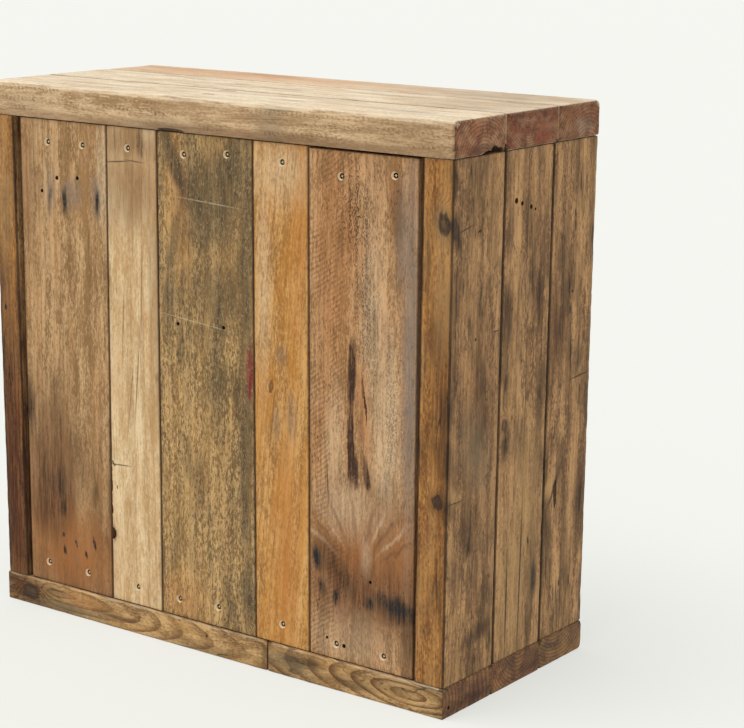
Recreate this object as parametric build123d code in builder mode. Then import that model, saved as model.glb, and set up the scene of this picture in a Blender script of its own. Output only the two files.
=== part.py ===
from build123d import *
import os

# Low cabinet of reclaimed planks: a thick plank case, open at the rear and closed at the front
# by five thinner boards, which are screwed to battens behind them.
# Frame: +X to the right, +Y to the rear, +Z up, origin on the floor under the middle of the case.

# ------------------------------------------------------------ driving dimensions, mm
inner_height = 596.0          # length of the side planks, from base to top
top_thickness = 42.0
base_thickness = 37.0
case_depth = 300.0            # top and base, front edge to rear edge
plank_gap = 0.8               # between planks that lie side by side
plank_ease = 1.8              # rounding of the planks' long edges
end_ease = 1.4                # rounding around the planks' ends
top_ease = 4.5                # rounding of the worn outer edges of the top

top_front_width = 99.6
top_middle_width = 108.0
top_rear_short = 3.0          # the rear top plank stops short at its left end
base_front_width = 97.0
base_middle_width = 105.0
base_joint_from_right = 254.0  # butt joint in the front plank of the base
butt_gap = 0.6

left_side_thickness = 34.8
right_side_thickness = 40.7
left_lean = 5.5               # how far a side's top stands out beyond its foot
right_lean = 3.5
side_front_width = 100.1
side_middle_width = 99.9
side_front_inset = 0.5        # behind the front edge of top and base
side_rear_inset = 2.5
top_overhang_left = 3.3
top_overhang_right = 0.5
base_overhang_left = 1.8
base_overhang_right = 0.5

board_thickness = 22.0
board_recess = 3.0            # board faces behind the front edge of the case
board_widths = [141.8, 82.8, 148.6, 80.5, 148.2]   # at the foot
board_gap = 0.8
board_foot_gap = 0.5
board_head_gaps = [0.9, 0.7, 0.8, 0.9, 2.6]
board_ease = 1.2
seam_slants = [-0.8, 2.0, -0.5, -3.6, -4.0, -0.3]  # drift of each board edge towards +X at its head
left_foot_gap = 5.1           # between the left side and the first board, at the foot
right_foot_gap = 2.5

batten_depth = 34.0           # across, off the planks that it lies against
batten_height = 45.0
batten_end_gap = 0.5
batten_ease = 1.0
cleat_rear_inset = 12.0       # from the rear edge of the sides
tie_width = 70.0
tie_thickness = 32.0

head_radius = 3.3
head_height = 2.1
shank_radius = 1.75
tip_length = 5.0
drive_width = 0.9             # cross recess in the head
drive_span = 3.6
drive_depth = 1.3
head_sink = 2.4               # head below the wood's face
hole_clearance = 0.05
hole_extra_depth = 1.0
board_bite = 18.0             # length of screw in the second piece
frame_bite = 25.0
cleat_bite = 20.0
board_screw_from_end = 25.0   # screw rows of the front boards, from top and base
batten_screw_from_rear = 9.0
batten_screws_from_left = [60.0, 220.0]
batten_screws_from_right = [165.0, 60.0]

# Front board screws, one list per board: an inset above zero is from the board's left edge,
# one below zero from its right edge. The rises are above the row's height.
head_insets = [[46.5, -40.0], [33.6], [41.0, -38.2], [42.0], [45.8, -32.7]]
foot_insets = [[31.2, -41.7], [42.0], [27.5, -59.0], [39.8], [37.9, -42.2]]
head_rises = [[-3.4, -3.0], [-0.6], [-0.8, 4.6], [2.5], [-5.8, 1.2]]
foot_rises = [[1.0, 0.3], [-1.3], [-2.1, 0.5], [0.3], [-6.2, -6.2]]

# ------------------------------------------------------------ sizes that follow
under_top = base_thickness + inner_height
board_span = sum(board_widths) + board_gap * (len(board_widths) - 1)
opening_width = left_foot_gap + board_span + right_foot_gap
foot_width = left_side_thickness + opening_width + right_side_thickness
top_length = top_overhang_left + left_lean + foot_width + right_lean + top_overhang_right
top_left = -top_length / 2
top_right = top_length / 2
foot_left = top_left + top_overhang_left + left_lean
foot_right = foot_left + foot_width
left_inner = foot_left + left_side_thickness
right_inner = foot_right - right_side_thickness
base_left = foot_left - base_overhang_left
base_right = foot_right + base_overhang_right
base_joint_x = base_right - base_joint_from_right

front_y = -case_depth / 2
rear_y = case_depth / 2
side_front_y = front_y + side_front_inset
side_rear_y = rear_y - side_rear_inset
board_face_y = front_y + board_recess
batten_front_y = board_face_y + board_thickness
batten_rear_y = batten_front_y + batten_depth
cleat_front_y = batten_rear_y + batten_end_gap
cleat_rear_y = side_rear_y - cleat_rear_inset

top_batten_under = under_top - batten_height
base_batten_over = base_thickness + batten_height
tie_under = under_top - tie_thickness
tie_over = base_thickness + tie_thickness
top_tie_x = (left_inner + right_inner) / 2

strip_names = ["front", "middle", "rear"]


def left_face(z):
    """X of the left side's inner face at height z."""
    return left_inner - left_lean * (z - base_thickness) / inner_height


def right_face(z):
    """X of the right side's inner face at height z."""
    return right_inner + right_lean * (z - base_thickness) / inner_height


def strips(first, second, start, end):
    """Front and rear Y of three planks that lie side by side."""
    second_start = start + first + plank_gap
    third_start = second_start + second + plank_gap
    return [(start, start + first), (second_start, second_start + second), (third_start, end)]


top_strips = strips(top_front_width, top_middle_width, front_y, rear_y)
base_strips = strips(base_front_width, base_middle_width, front_y, rear_y)
side_strips = strips(side_front_width, side_middle_width, side_front_y, side_rear_y)


def board_edges(index):
    """X of a front board's left and right edges at its foot, then at its head."""
    left = left_inner + left_foot_gap + sum(board_widths[:index]) + board_gap * index
    right = left + board_widths[index]
    return left, right, left + seam_slants[index], right + seam_slants[index + 1]


# ------------------------------------------------------------ where the screws go
driving_turns = {"rear": (90, 0, 0), "up": (180, 0, 0), "down": (0, 0, 0), "left": (0, 90, 0), "right": (0, -90, 0)}


def driven(x, y, z, towards):
    """Where a screw enters the wood, turned the way that it is driven."""
    return Location((x, y, z), driving_turns[towards])


def board_screws(insets, rises, row, at_head):
    """One row of screws through the front boards."""
    places = []
    for index in range(len(board_widths)):
        foot_x, foot_end_x, head_x, head_end_x = board_edges(index)
        left, right = (head_x, head_end_x) if at_head else (foot_x, foot_end_x)
        for inset, rise in zip(insets[index], rises[index]):
            x = left + inset if inset > 0 else right + inset
            places.append(driven(x, board_face_y, row + rise, "rear"))
    return places


def along_cleat(pieces, share):
    """Y of one screw in each plank, a share of the way along the stretch that the cleat covers."""
    stretches = [(max(start, cleat_front_y), min(end, cleat_rear_y)) for start, end in pieces]
    return [start + share * (end - start) for start, end in stretches]


upright_share = 0.3           # upright and sideways screws pass each other inside a cleat
sideways_share = 0.7
tie_share = 0.5

board_head_screws = board_screws(head_insets, head_rises, under_top - board_screw_from_end, True)
board_foot_screws = board_screws(foot_insets, foot_rises, base_thickness + board_screw_from_end, False)

batten_screw_xs = [left_inner + inset for inset in batten_screws_from_left]
batten_screw_xs += [right_inner - inset for inset in batten_screws_from_right]
batten_screw_y = batten_rear_y - batten_screw_from_rear
top_batten_screws = [driven(x, batten_screw_y, top_batten_under, "up") for x in batten_screw_xs]
base_batten_screws = [driven(x, batten_screw_y, base_batten_over, "down") for x in batten_screw_xs]

top_cleat_mid_z = under_top - batten_height / 2
base_cleat_mid_z = base_thickness + batten_height / 2
top_cleat_xs = [left_face(under_top) + batten_depth / 2, right_face(under_top) - batten_depth / 2]
base_cleat_xs = [left_inner + batten_depth / 2, right_inner - batten_depth / 2]
top_cleat_screws = [driven(x, y, top_batten_under, "up")
                    for x in top_cleat_xs for y in along_cleat(top_strips, upright_share)]
base_cleat_screws = [driven(x, y, base_batten_over, "down")
                     for x in base_cleat_xs for y in along_cleat(base_strips, upright_share)]


def sideways_screws(z):
    """Screws from inside through both cleats at this height into the side planks."""
    places = []
    for y in along_cleat(side_strips, sideways_share):
        places.append(driven(left_face(z) + batten_depth, y, z, "left"))
        places.append(driven(right_face(z) - batten_depth, y, z, "right"))
    return places


side_head_screws = sideways_screws(top_cleat_mid_z)
side_foot_screws = sideways_screws(base_cleat_mid_z)

top_tie_screws = [driven(top_tie_x, y, tie_under, "up") for y in along_cleat(top_strips, tie_share)]
base_tie_ys = along_cleat(base_strips, tie_share)
base_tie_screws = [driven(base_joint_x + shift, base_tie_ys[0], tie_over, "down")
                   for shift in (-tie_width / 4, tie_width / 4)]
base_tie_screws += [driven(base_joint_x, y, tie_over, "down") for y in base_tie_ys[1:]]


# ------------------------------------------------------------ screws and their holes
def screw(length):
    """Countersunk screw along -Z from the wood's face, its head sunk below that face."""
    rim = -head_sink
    tip = -length
    with BuildPart() as body:
        with BuildSketch(Plane.XZ):
            with BuildLine():
                Polyline(
                    (0, rim),
                    (head_radius, rim),
                    (shank_radius, rim - head_height),
                    (shank_radius, tip + tip_length),
                    (0, tip),
                    close=True,
                )
            make_face()
        revolve(axis=Axis.Z)
        with BuildSketch(Plane.XY.offset(rim)):
            Rectangle(drive_span, drive_width)
            Rectangle(drive_width, drive_span)
        extrude(amount=-drive_depth, mode=Mode.SUBTRACT)
    return body.part


def screw_hole(length):
    """Hole along -Z that the same screw sits in, flared at the wood's face."""
    wide = head_radius + hole_clearance
    narrow = shank_radius + hole_clearance
    mouth = wide + head_sink / 2
    above = 1.0
    floor = -length - hole_extra_depth
    with BuildPart() as body:
        with BuildSketch(Plane.XZ):
            with BuildLine():
                Polyline(
                    (0, above),
                    (mouth, above),
                    (mouth, 0),
                    (wide, -head_sink),
                    (narrow, -head_sink - head_height),
                    (narrow, floor),
                    (0, floor),
                    close=True,
                )
            make_face()
        revolve(axis=Axis.Z)
    return body.part


board_screw_length = board_thickness + board_bite
batten_screw_length = batten_height + frame_bite
cleat_screw_length = batten_depth + cleat_bite
tie_screw_length = tie_thickness + frame_bite
board_hole = screw_hole(board_screw_length)
batten_hole = screw_hole(batten_screw_length)
cleat_hole = screw_hole(cleat_screw_length)
tie_hole = screw_hole(tie_screw_length)


def drill(hole, places):
    """Take the holes at these places out of the part that is being built."""
    with Locations(*places):
        add(hole, mode=Mode.SUBTRACT)


def keep(builder, name):
    """Label a finished piece and write it to its own file."""
    builder.part.label = name
    export_step(builder.part, f"parts/{name}.step")


os.makedirs("parts", exist_ok=True)

# ------------------------------------------------------------ top
for index, (start, end) in enumerate(top_strips):
    left = top_left + top_rear_short if index == 2 else top_left
    with BuildPart() as top_plank:
        with BuildSketch(Plane.YZ.offset(left)) as section:
            with Locations(((start + end) / 2, under_top + top_thickness / 2)):
                Rectangle(end - start, top_thickness)
            upper = section.vertices().group_by(Axis.Y)[-1].sort_by(Axis.X)
            worn = [upper[0]] if index == 0 else [upper[-1]] if index == 2 else []
            sound = [corner for corner in section.vertices() if corner not in worn]
            fillet(sound, radius=plank_ease)
            if worn:
                reach = section.vertices().group_by(Axis.Y)[-1].sort_by(Axis.X)
                fillet(reach[0] if index == 0 else reach[-1], radius=top_ease)
        extrude(amount=top_right - left)
        end_faces = top_plank.faces().filter_by(Axis.X)
        fillet(end_faces.edges(), radius=end_ease)
        drill(batten_hole, top_batten_screws + top_cleat_screws)
        drill(tie_hole, top_tie_screws)
    keep(top_plank, f"top_plank_{strip_names[index]}")

# ------------------------------------------------------------ base
base_lengths = [
    ("front_left", base_strips[0], base_left, base_joint_x - butt_gap / 2),
    ("front_right", base_strips[0], base_joint_x + butt_gap / 2, base_right),
    ("middle", base_strips[1], base_left, base_right),
    ("rear", base_strips[2], base_left, base_right),
]
for name, (start, end), left, right in base_lengths:
    with BuildPart() as base_plank:
        with BuildSketch(Plane.YZ.offset(left)) as section:
            with Locations(((start + end) / 2, base_thickness / 2)):
                Rectangle(end - start, base_thickness)
            fillet(section.vertices(), radius=plank_ease)
        extrude(amount=right - left)
        end_faces = base_plank.faces().filter_by(Axis.X)
        fillet(end_faces.edges(), radius=end_ease)
        drill(batten_hole, base_batten_screws + base_cleat_screws)
        drill(tie_hole, base_tie_screws)
    keep(base_plank, f"base_plank_{name}")

# ------------------------------------------------------------ sides
side_outlines = {
    "left": [
        (foot_left, base_thickness),
        (left_inner, base_thickness),
        (left_face(under_top), under_top),
        (left_face(under_top) - left_side_thickness, under_top),
    ],
    "right": [
        (right_inner, base_thickness),
        (foot_right, base_thickness),
        (right_face(under_top) + right_side_thickness, under_top),
        (right_face(under_top), under_top),
    ],
}
for side, outline in side_outlines.items():
    for (start, end), place in zip(side_strips, strip_names):
        with BuildPart() as side_plank:
            with BuildSketch(Plane.XZ.offset(-start)):
                with BuildLine():
                    Polyline(*outline, close=True)
                make_face()
            extrude(amount=start - end)
            long_edges = side_plank.edges().filter_by(lambda edge: edge.length > inner_height - plank_ease)
            fillet(long_edges, radius=plank_ease)
            drill(cleat_hole, side_head_screws + side_foot_screws)
        keep(side_plank, f"{side}_side_plank_{place}")

# ------------------------------------------------------------ front boards
for index, head_gap in enumerate(board_head_gaps):
    foot_x, foot_end_x, head_x, head_end_x = board_edges(index)
    foot_z = base_thickness + board_foot_gap
    head_z = under_top - head_gap
    with BuildPart() as board:
        with BuildSketch(Plane.XZ.offset(-board_face_y)):
            with BuildLine():
                Polyline((foot_x, foot_z), (foot_end_x, foot_z), (head_end_x, head_z), (head_x, head_z), close=True)
            make_face()
        extrude(amount=-board_thickness)
        face = board.faces().sort_by(Axis.Y)[0]
        fillet(face.edges(), radius=board_ease)
        drill(board_hole, board_head_screws + board_foot_screws)
    keep(board, f"front_board_{index + 1}")

# ------------------------------------------------------------ battens behind the boards
front_battens = [
    ("front_top_batten", top_batten_under, board_head_screws, top_batten_screws),
    ("front_base_batten", base_thickness, board_foot_screws, base_batten_screws),
]
for name, low, board_places, batten_places in front_battens:
    left = left_face(low) + batten_end_gap
    right = right_face(low) - batten_end_gap
    with BuildPart() as batten:
        with BuildSketch(Plane.YZ.offset(left)):
            with Locations(((batten_front_y + batten_rear_y) / 2, low + batten_height / 2)):
                Rectangle(batten_depth, batten_height)
        extrude(amount=right - left)
        fillet(batten.edges().filter_by(Axis.X), radius=batten_ease)
        drill(board_hole, board_places)
        drill(batten_hole, batten_places)
    keep(batten, name)

# ------------------------------------------------------------ cleats along the sides
cleats = [
    ("left_top_cleat", left_face, 1, top_batten_under, top_cleat_screws, side_head_screws),
    ("right_top_cleat", right_face, -1, top_batten_under, top_cleat_screws, side_head_screws),
    ("left_base_cleat", left_face, 1, base_thickness, base_cleat_screws, side_foot_screws),
    ("right_base_cleat", right_face, -1, base_thickness, base_cleat_screws, side_foot_screws),
]
for name, face_x, inwards, low, upright_places, sideways_places in cleats:
    high = low + batten_height
    inner = inwards * batten_depth
    outline = [
        (face_x(low), low),
        (face_x(low) + inner, low),
        (face_x(high) + inner, high),
        (face_x(high), high),
    ]
    with BuildPart() as cleat:
        with BuildSketch(Plane.XZ.offset(-cleat_front_y)):
            with BuildLine():
                Polyline(*outline, close=True)
            make_face()
        extrude(amount=cleat_front_y - cleat_rear_y)
        fillet(cleat.edges().filter_by(Axis.Y), radius=batten_ease)
        drill(batten_hole, upright_places)
        drill(cleat_hole, sideways_places)
    keep(cleat, name)

# ------------------------------------------------------------ ties across the planks
ties = [
    ("top_tie", top_tie_x, tie_under, top_tie_screws),
    ("base_tie", base_joint_x, base_thickness, base_tie_screws),
]
for name, x, low, places in ties:
    with BuildPart() as tie:
        with BuildSketch(Plane.XZ.offset(-cleat_front_y)):
            with Locations((x, low + tie_thickness / 2)):
                Rectangle(tie_width, tie_thickness)
        extrude(amount=cleat_front_y - cleat_rear_y)
        fillet(tie.edges().filter_by(Axis.Y), radius=batten_ease)
        drill(tie_hole, places)
    keep(tie, name)

# ------------------------------------------------------------ screws, one group for each joint
screw_groups = [
    ("board_head_screws", board_screw_length, board_head_screws),
    ("board_foot_screws", board_screw_length, board_foot_screws),
    ("front_top_batten_screws", batten_screw_length, top_batten_screws),
    ("front_base_batten_screws", batten_screw_length, base_batten_screws),
    ("top_cleat_screws", batten_screw_length, top_cleat_screws),
    ("base_cleat_screws", batten_screw_length, base_cleat_screws),
    ("side_head_screws", cleat_screw_length, side_head_screws),
    ("side_foot_screws", cleat_screw_length, side_foot_screws),
    ("top_tie_screws", tie_screw_length, top_tie_screws),
    ("base_tie_screws", tie_screw_length, base_tie_screws),
]
for name, length, places in screw_groups:
    one_screw = screw(length)
    with BuildPart() as screws:
        with Locations(*places):
            add(one_screw)
    keep(screws, name)
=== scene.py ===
"""A low cabinet of reclaimed planks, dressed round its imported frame.

Each plank, board and batten of the frame is rebuilt as worn timber in the same place, with
rounded and chipped arrises, countersunk screw holes and old nail holes.
"""

import logging
import math
from dataclasses import dataclass, field, replace
from enum import Enum

import bmesh
import bpy
from mathutils import Matrix, Vector

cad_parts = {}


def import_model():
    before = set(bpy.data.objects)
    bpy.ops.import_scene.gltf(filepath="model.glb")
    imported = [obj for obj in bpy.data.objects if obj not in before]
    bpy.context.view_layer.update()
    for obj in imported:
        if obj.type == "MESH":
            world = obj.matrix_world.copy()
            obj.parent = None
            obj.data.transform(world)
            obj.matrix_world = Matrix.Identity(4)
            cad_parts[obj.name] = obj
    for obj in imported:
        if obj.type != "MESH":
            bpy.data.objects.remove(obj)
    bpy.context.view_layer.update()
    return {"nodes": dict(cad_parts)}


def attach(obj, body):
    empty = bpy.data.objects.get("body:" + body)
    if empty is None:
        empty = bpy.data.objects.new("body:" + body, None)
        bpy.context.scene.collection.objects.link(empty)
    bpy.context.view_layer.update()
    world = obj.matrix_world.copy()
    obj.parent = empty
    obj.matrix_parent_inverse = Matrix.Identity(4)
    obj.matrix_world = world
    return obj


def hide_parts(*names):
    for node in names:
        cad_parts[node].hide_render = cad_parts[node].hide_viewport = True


LOG = logging.getLogger("cabinet")
MM = 0.001
BODY = "root"
SHARP_ANGLE = math.radians(46)

Triple = tuple[float, float, float]
Value = "Sock | float | tuple[float, ...]"
PointRow = tuple[Vector, Vector, Triple, float]


def paint(code: str) -> Triple:
    """Turn a six-digit colour code into linear red, green and blue.

    Args:
        code: Colour as it would be mixed on a screen, such as "c4a57d".

    Returns:
        The three linear components.
    """
    parts = [int(code[i:i + 2], 16) / 255 for i in (0, 2, 4)]
    red, green, blue = [p / 12.92 if p <= 0.04045 else ((p + 0.055) / 1.055) ** 2.4 for p in parts]
    return red, green, blue


def box_of(points: list[Vector]) -> tuple[Vector, Vector]:
    """Find the lowest and highest corner round some points."""
    return tuple(Vector([pick(p[k] for p in points) for k in range(3)]) for pick in (min, max))


def put(name: str, data: bpy.types.ID) -> bpy.types.Object:
    """Make an object of some data and link it to the scene."""
    made = bpy.data.objects.new(name, data)
    bpy.context.scene.collection.objects.link(made)
    return made


# ------------------------------------------------------------------ nodes
def add_node(tree: bpy.types.NodeTree, kind: str, settings: dict, sockets: dict) -> bpy.types.Node:
    """Add one node to a tree.

    Args:
        tree: The tree.
        kind: The node's type.
        settings: Properties of the node, set first.
        sockets: A value, a link or a list of links for each input, by name or by index.

    Returns:
        The node.
    """
    made = tree.nodes.new(kind)
    for name, setting in settings.items():
        setattr(made, name, setting)
    for name, value in sockets.items():
        for part in value if isinstance(value, list) else [value]:
            part = part.socket if isinstance(part, Sock) else part
            if isinstance(part, bpy.types.NodeSocket):
                tree.links.new(part, made.inputs[name])
            else:
                made.inputs[name].default_value = part
    return made


class Sock:
    """A shader value that takes part in Python arithmetic."""

    def __init__(self, graph: "Graph", socket: bpy.types.NodeSocket) -> None:
        """Keep the graph and the socket that the value comes from."""
        self.graph = graph
        self.socket = socket

    def math(self, operation: str, *others: Value) -> "Sock":
        """Run this value and others through one Math node.

        Args:
            operation: The Math node's operation.
            *others: The second and third value, where it takes them.

        Returns:
            The node's result.
        """
        return self.graph.calc(operation, self, *others)

    def __add__(self, other: Value) -> "Sock":
        """Add."""
        return self.math("ADD", other)

    def __sub__(self, other: Value) -> "Sock":
        """Subtract."""
        return self.math("SUBTRACT", other)

    def __rsub__(self, other: Value) -> "Sock":
        """Subtract from a number."""
        return self.graph.calc("SUBTRACT", other, self)

    def __mul__(self, other: Value) -> "Sock":
        """Multiply."""
        return self.math("MULTIPLY", other)

    def __truediv__(self, other: Value) -> "Sock":
        """Divide."""
        return self.math("DIVIDE", other)

    def __neg__(self) -> "Sock":
        """Change the sign."""
        return self.math("MULTIPLY", -1.0)

    __radd__ = __add__
    __rmul__ = __mul__

    def step(self, low: float, high: float) -> "Sock":
        """Rise smoothly from 0 at low to 1 at high, or fall where low is the larger."""
        if low <= high:
            return self._ease(low, high, 0.0, 1.0)
        return self._ease(high, low, 1.0, 0.0)

    def _ease(self, low: float, high: float, start: float, end: float) -> "Sock":
        """Map low to start and high to end with a smooth step."""
        sockets = {"Value": self, "From Min": low, "From Max": high, "To Min": start, "To Max": end}
        return self.graph.node("ShaderNodeMapRange", {"interpolation_type": "SMOOTHSTEP"}, sockets)


class Graph:
    """Builds one material's nodes."""

    def __init__(self, tree: bpy.types.NodeTree) -> None:
        """Keep the node tree that the nodes go into."""
        self.tree = tree

    def node(self, kind: str, settings: dict, sockets: dict, output: int | str = 0) -> Sock:
        """Add one node as add_node does, and return one of its outputs."""
        return Sock(self, add_node(self.tree, kind, settings, sockets).outputs[output])

    def calc(self, operation: str, *values: Value) -> Sock:
        """Add a Math node over these values."""
        return self.node("ShaderNodeMath", {"operation": operation}, dict(enumerate(values)))

    def vector(self, operation: str, *values: Value, output: int = 0) -> Sock:
        """Add a Vector Math node over these values."""
        return self.node("ShaderNodeVectorMath", {"operation": operation}, dict(enumerate(values)), output)

    def split(self, place: Sock) -> list[Sock]:
        """Take a vector apart."""
        parts = self.node("ShaderNodeSeparateXYZ", {}, {0: place})
        return [Sock(self, output) for output in parts.socket.node.outputs]

    def finish(self, shader: Sock) -> None:
        """Send the shader to the output."""
        output = self.tree.nodes.new("ShaderNodeOutputMaterial")
        self.tree.links.new(shader.socket, output.inputs["Surface"])

    def stretch(self, place: Sock, scale: Triple, shift: Triple = (0.0, 0.0, 0.0)) -> Sock:
        """Scale a place along each axis and shift it."""
        return self.vector("MULTIPLY_ADD", place, scale, shift)

    def noise(self, place: Sock, detail: float, roughness: float = 0.5, output: str = "Fac") -> Sock:
        """Add a noise texture at a place whose scale is already set."""
        sockets = {"Vector": place, "Scale": 1.0, "Detail": detail, "Roughness": roughness}
        return self.node("ShaderNodeTexNoise", {"noise_dimensions": "3D"}, sockets, output)

    def blend(self, share: Value, under: Value, over: Value, mode: str = "MIX") -> Sock:
        """Lay one colour over another.

        Args:
            share: How much of the upper colour shows.
            under: The lower colour.
            over: The upper colour.
            mode: How the two meet.

        Returns:
            The mixed colour.
        """
        sockets = {0: share}
        for index, colour in ((6, under), (7, over)):
            sockets[index] = colour if isinstance(colour, Sock) else (*colour, 1.0)
        return self.node("ShaderNodeMix", {"data_type": "RGBA", "blend_type": mode}, sockets, 2)


def empty_material(name: str) -> bpy.types.Material:
    """Make a material with no nodes in it."""
    material = bpy.data.materials.new(name)
    material.use_nodes = True
    material.node_tree.nodes.clear()
    return material


# ------------------------------------------------------------------ timber
PIT = paint("24170d")
CHECK = paint("1c110a")
KNOT_RIM = paint("2a1c11")
SCUFFED = paint("b09c78")
SAW_SHADE = paint("5a4028")
# Pale on the upper arrises: rubbed wear with a painted highlight.
RUB_AND_HIGHLIGHT = paint("f0dcbc")
# Painted shade in the seams between planks and on the lower arrises.
ARRIS_SHADE = paint("1d130b")
FRESH_CUT = paint("f2d9b0")
# Dark of old nail holes, with painted shade inside them and in the torn chips.
HOLE_SHADE = paint("2a1b10")


class Lie(Enum):
    """Which axes run across, through and along a piece of timber."""

    UPRIGHT_FRONT = (0, 1, 2)
    UPRIGHT_SIDE = (1, 0, 2)
    LEVEL_LENGTHWISE = (1, 2, 0)
    LEVEL_CROSSWISE = (0, 2, 1)


class Face(Enum):
    """The face of a piece that a mark lies on."""

    BROAD = "broad"
    EDGE = "edge"
    END = "end"


@dataclass(frozen=True)
class Trait:
    """How a kind of mark looks: its colour, edge softness, relief in mm and ragged outline."""

    colour: Triple
    softness: float
    relief: float
    ragged: bool
    strength: float = 1.0
    mode: str = "MIX"


class Kind(Enum):
    """Marks that old timber carries."""

    SHADE = Trait(paint("8a6a4c"), 0.85, 0.0, True, 0.8, "MULTIPLY")
    WARM = Trait(paint("c07a3c"), 0.85, 0.0, True, 0.6)
    TAN = Trait(paint("bd9560"), 0.8, 0.0, True, 0.7)
    RUST = Trait(paint("98502c"), 0.85, 0.0, True, 0.6)
    PALE = Trait(paint("e0c8a4"), 0.85, 0.0, True, 0.6)
    GREY = Trait(paint("8a8274"), 0.8, 0.0, True, 0.75)
    BLUE = Trait(paint("776f68"), 0.8, 0.0, True, 0.75)
    DRY = Trait(paint("6e6048"), 0.8, 0.0, True, 0.75)
    SPECKS = Trait(PIT, 0.8, 0.0, True, 0.0)
    GRIME = Trait(paint("26271f"), 0.75, 0.0, True, 0.9)
    SMOKE = Trait(paint("5a4430"), 0.75, 0.0, True, 0.95, "MULTIPLY")
    IRON = Trait(paint("1e1b1a"), 0.9, 0.0, True, 0.95)
    CRIMSON = Trait(paint("7a1822"), 0.45, 0.0, True, 0.8)
    KNOT = Trait(paint("433020"), 0.3, 0.15, True, 0.85)
    BARK = Trait(paint("3c2013"), 0.3, -0.8, True, 0.9)
    CRACK = Trait(paint("2a190e"), 0.6, -0.8, False, 0.85)
    SCRATCH = Trait(paint("d8c8a8"), 0.7, -0.1, False, 0.4)
    FLECK = Trait(paint("20140c"), 0.4, -0.3, True, 0.9)


@dataclass(frozen=True)
class Mark:
    """One mark, as a soft ellipse on a face, in mm in the row frame.

    On a broad face, place and reach are across and along; on an edge face, through and along;
    on an end face, across and through. The turn is in degrees.
    """

    kind: Kind
    face: Face
    place: tuple[float, float]
    reach: tuple[float, float]
    strength: float = 1.0
    turn: float = 0.0
    depth: float = 9.0


def spots(face: Face, rows: dict[Kind, list[tuple[float, ...]]]) -> list[Mark]:
    """Lay marks of several kinds on one face.

    Args:
        face: The face that they lie on.
        rows: By kind, a row for each mark: its place and its reach, then its strength, turn
            and depth where they aren't the usual ones.

    Returns:
        The marks.
    """
    return [Mark(kind, face, row[:2], row[2:4], *row[4:]) for kind, group in rows.items() for row in group]


class Saw(Enum):
    """The marks that a saw left on a face."""

    NONE = "none"
    TICKS = "ticks"
    SLANTED = "slanted"


@dataclass(frozen=True)
class Tone:
    """Light and dark colour of the grain on one kind of face."""

    light: Triple
    dark: Triple


@dataclass(frozen=True)
class Timber:
    """Finish of one piece of old timber. Lengths are in mm."""

    broad: Tone
    edge: Tone
    end: Tone
    late: Triple
    blush: Triple
    blushing: float
    ring: float
    ring_strength: float
    weathering: float
    checks: float
    flecks: float
    # How strongly the arrises show a pale rub with a painted highlight, and painted shade in the seams and on the lower
    # arrises.
    arris: float
    pith: tuple[float, float] = (10.0, 60.0)
    wobble: float = 14.0
    streak: float = 1.0
    band: float = 0.7
    weather: Triple = paint("5c5344")
    weather_cut: float = 0.55
    scuff: float = 0.0
    grit: float = 1.0
    lean: float = 0.0
    blotch: Triple = (0.03, 0.03, 0.008)
    saw_depth: float = 0.5
    saw: Saw = Saw.NONE
    seed: float = 0.0


@dataclass
class Place:
    """Where a piece lies: its box in mm, how its grain runs and which way it faces."""

    low: Vector
    high: Vector
    lie: Lie
    outward: Triple
    margin: float = 4.0

    @property
    def centre(self) -> Vector:
        """Middle of the piece's box."""
        return (self.low + self.high) / 2

    def holds(self, spot: Vector) -> bool:
        """Say whether a spot in mm lies in the box or within a few mm of it."""
        return all(self.low[k] - self.margin < spot[k] < self.high[k] + self.margin for k in range(3))

    def surface(self, axis: int) -> float:
        """Coordinate of the showing face on an axis."""
        return self.high[axis] if self.outward[axis] > 0 else self.low[axis]

    def on(self, face: Face, first: float, second: float) -> tuple[Vector, int]:
        """Find a spot on a showing face.

        Args:
            face: The face.
            first: The face's first coordinate: across, or through on an edge face.
            second: Its second coordinate: along, or through on an end face.

        Returns:
            The spot in the row frame, in mm, and the axis that the face looks along.
        """
        across, through, along = self.lie.value
        orders = {
            Face.BROAD: (across, along, through),
            Face.EDGE: (through, along, across),
            Face.END: (across, through, along),
        }
        one, two, normal = orders[face]
        spot = Vector((0.0, 0.0, 0.0))
        spot[one], spot[two], spot[normal] = first, second, self.surface(normal)
        return spot, normal


class Follow(Enum):
    """What a noise follows: the bent grain, or the piece itself."""

    GRAIN = "grain"
    PIECE = "piece"


@dataclass(frozen=True)
class Cloud:
    """A noise over the timber, with its scale per mm across, through and along, and its own salt."""

    follow: Follow
    scale: Triple
    detail: float
    roughness: float
    salt: float


FIBRES = Cloud(Follow.GRAIN, (0.36, 0.36, 0.022), 4.0, 0.66, 1.0)
HAIRS = Cloud(Follow.GRAIN, (1.2, 1.2, 0.06), 2.0, 0.6, 2.0)
GRIT = Cloud(Follow.PIECE, (0.44, 0.44, 0.17), 3.0, 0.75, 3.0)
BANDS = Cloud(Follow.GRAIN, (0.05, 0.05, 0.003), 2.0, 0.5, 4.0)
BLUSHES = Cloud(Follow.GRAIN, (0.06, 0.06, 0.008), 3.0, 0.55, 5.0)
BLOTCHES = Cloud(Follow.PIECE, (0.03, 0.03, 0.008), 5.0, 0.68, 6.0)
PITS = Cloud(Follow.PIECE, (0.5, 0.5, 0.2), 1.0, 0.5, 7.0)
CHECKS = Cloud(Follow.GRAIN, (0.075, 0.075, 0.004), 1.0, 0.4, 8.0)
SCUFFS = Cloud(Follow.PIECE, (0.5, 0.5, 0.3), 3.0, 0.65, 9.0)
MOTTLE = Cloud(Follow.PIECE, (0.07, 0.07, 0.02), 4.0, 0.6, 10.0)
SAWN_PATCHES = Cloud(Follow.PIECE, (0.05, 0.05, 0.012), 2.0, 0.5, 12.0)
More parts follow.
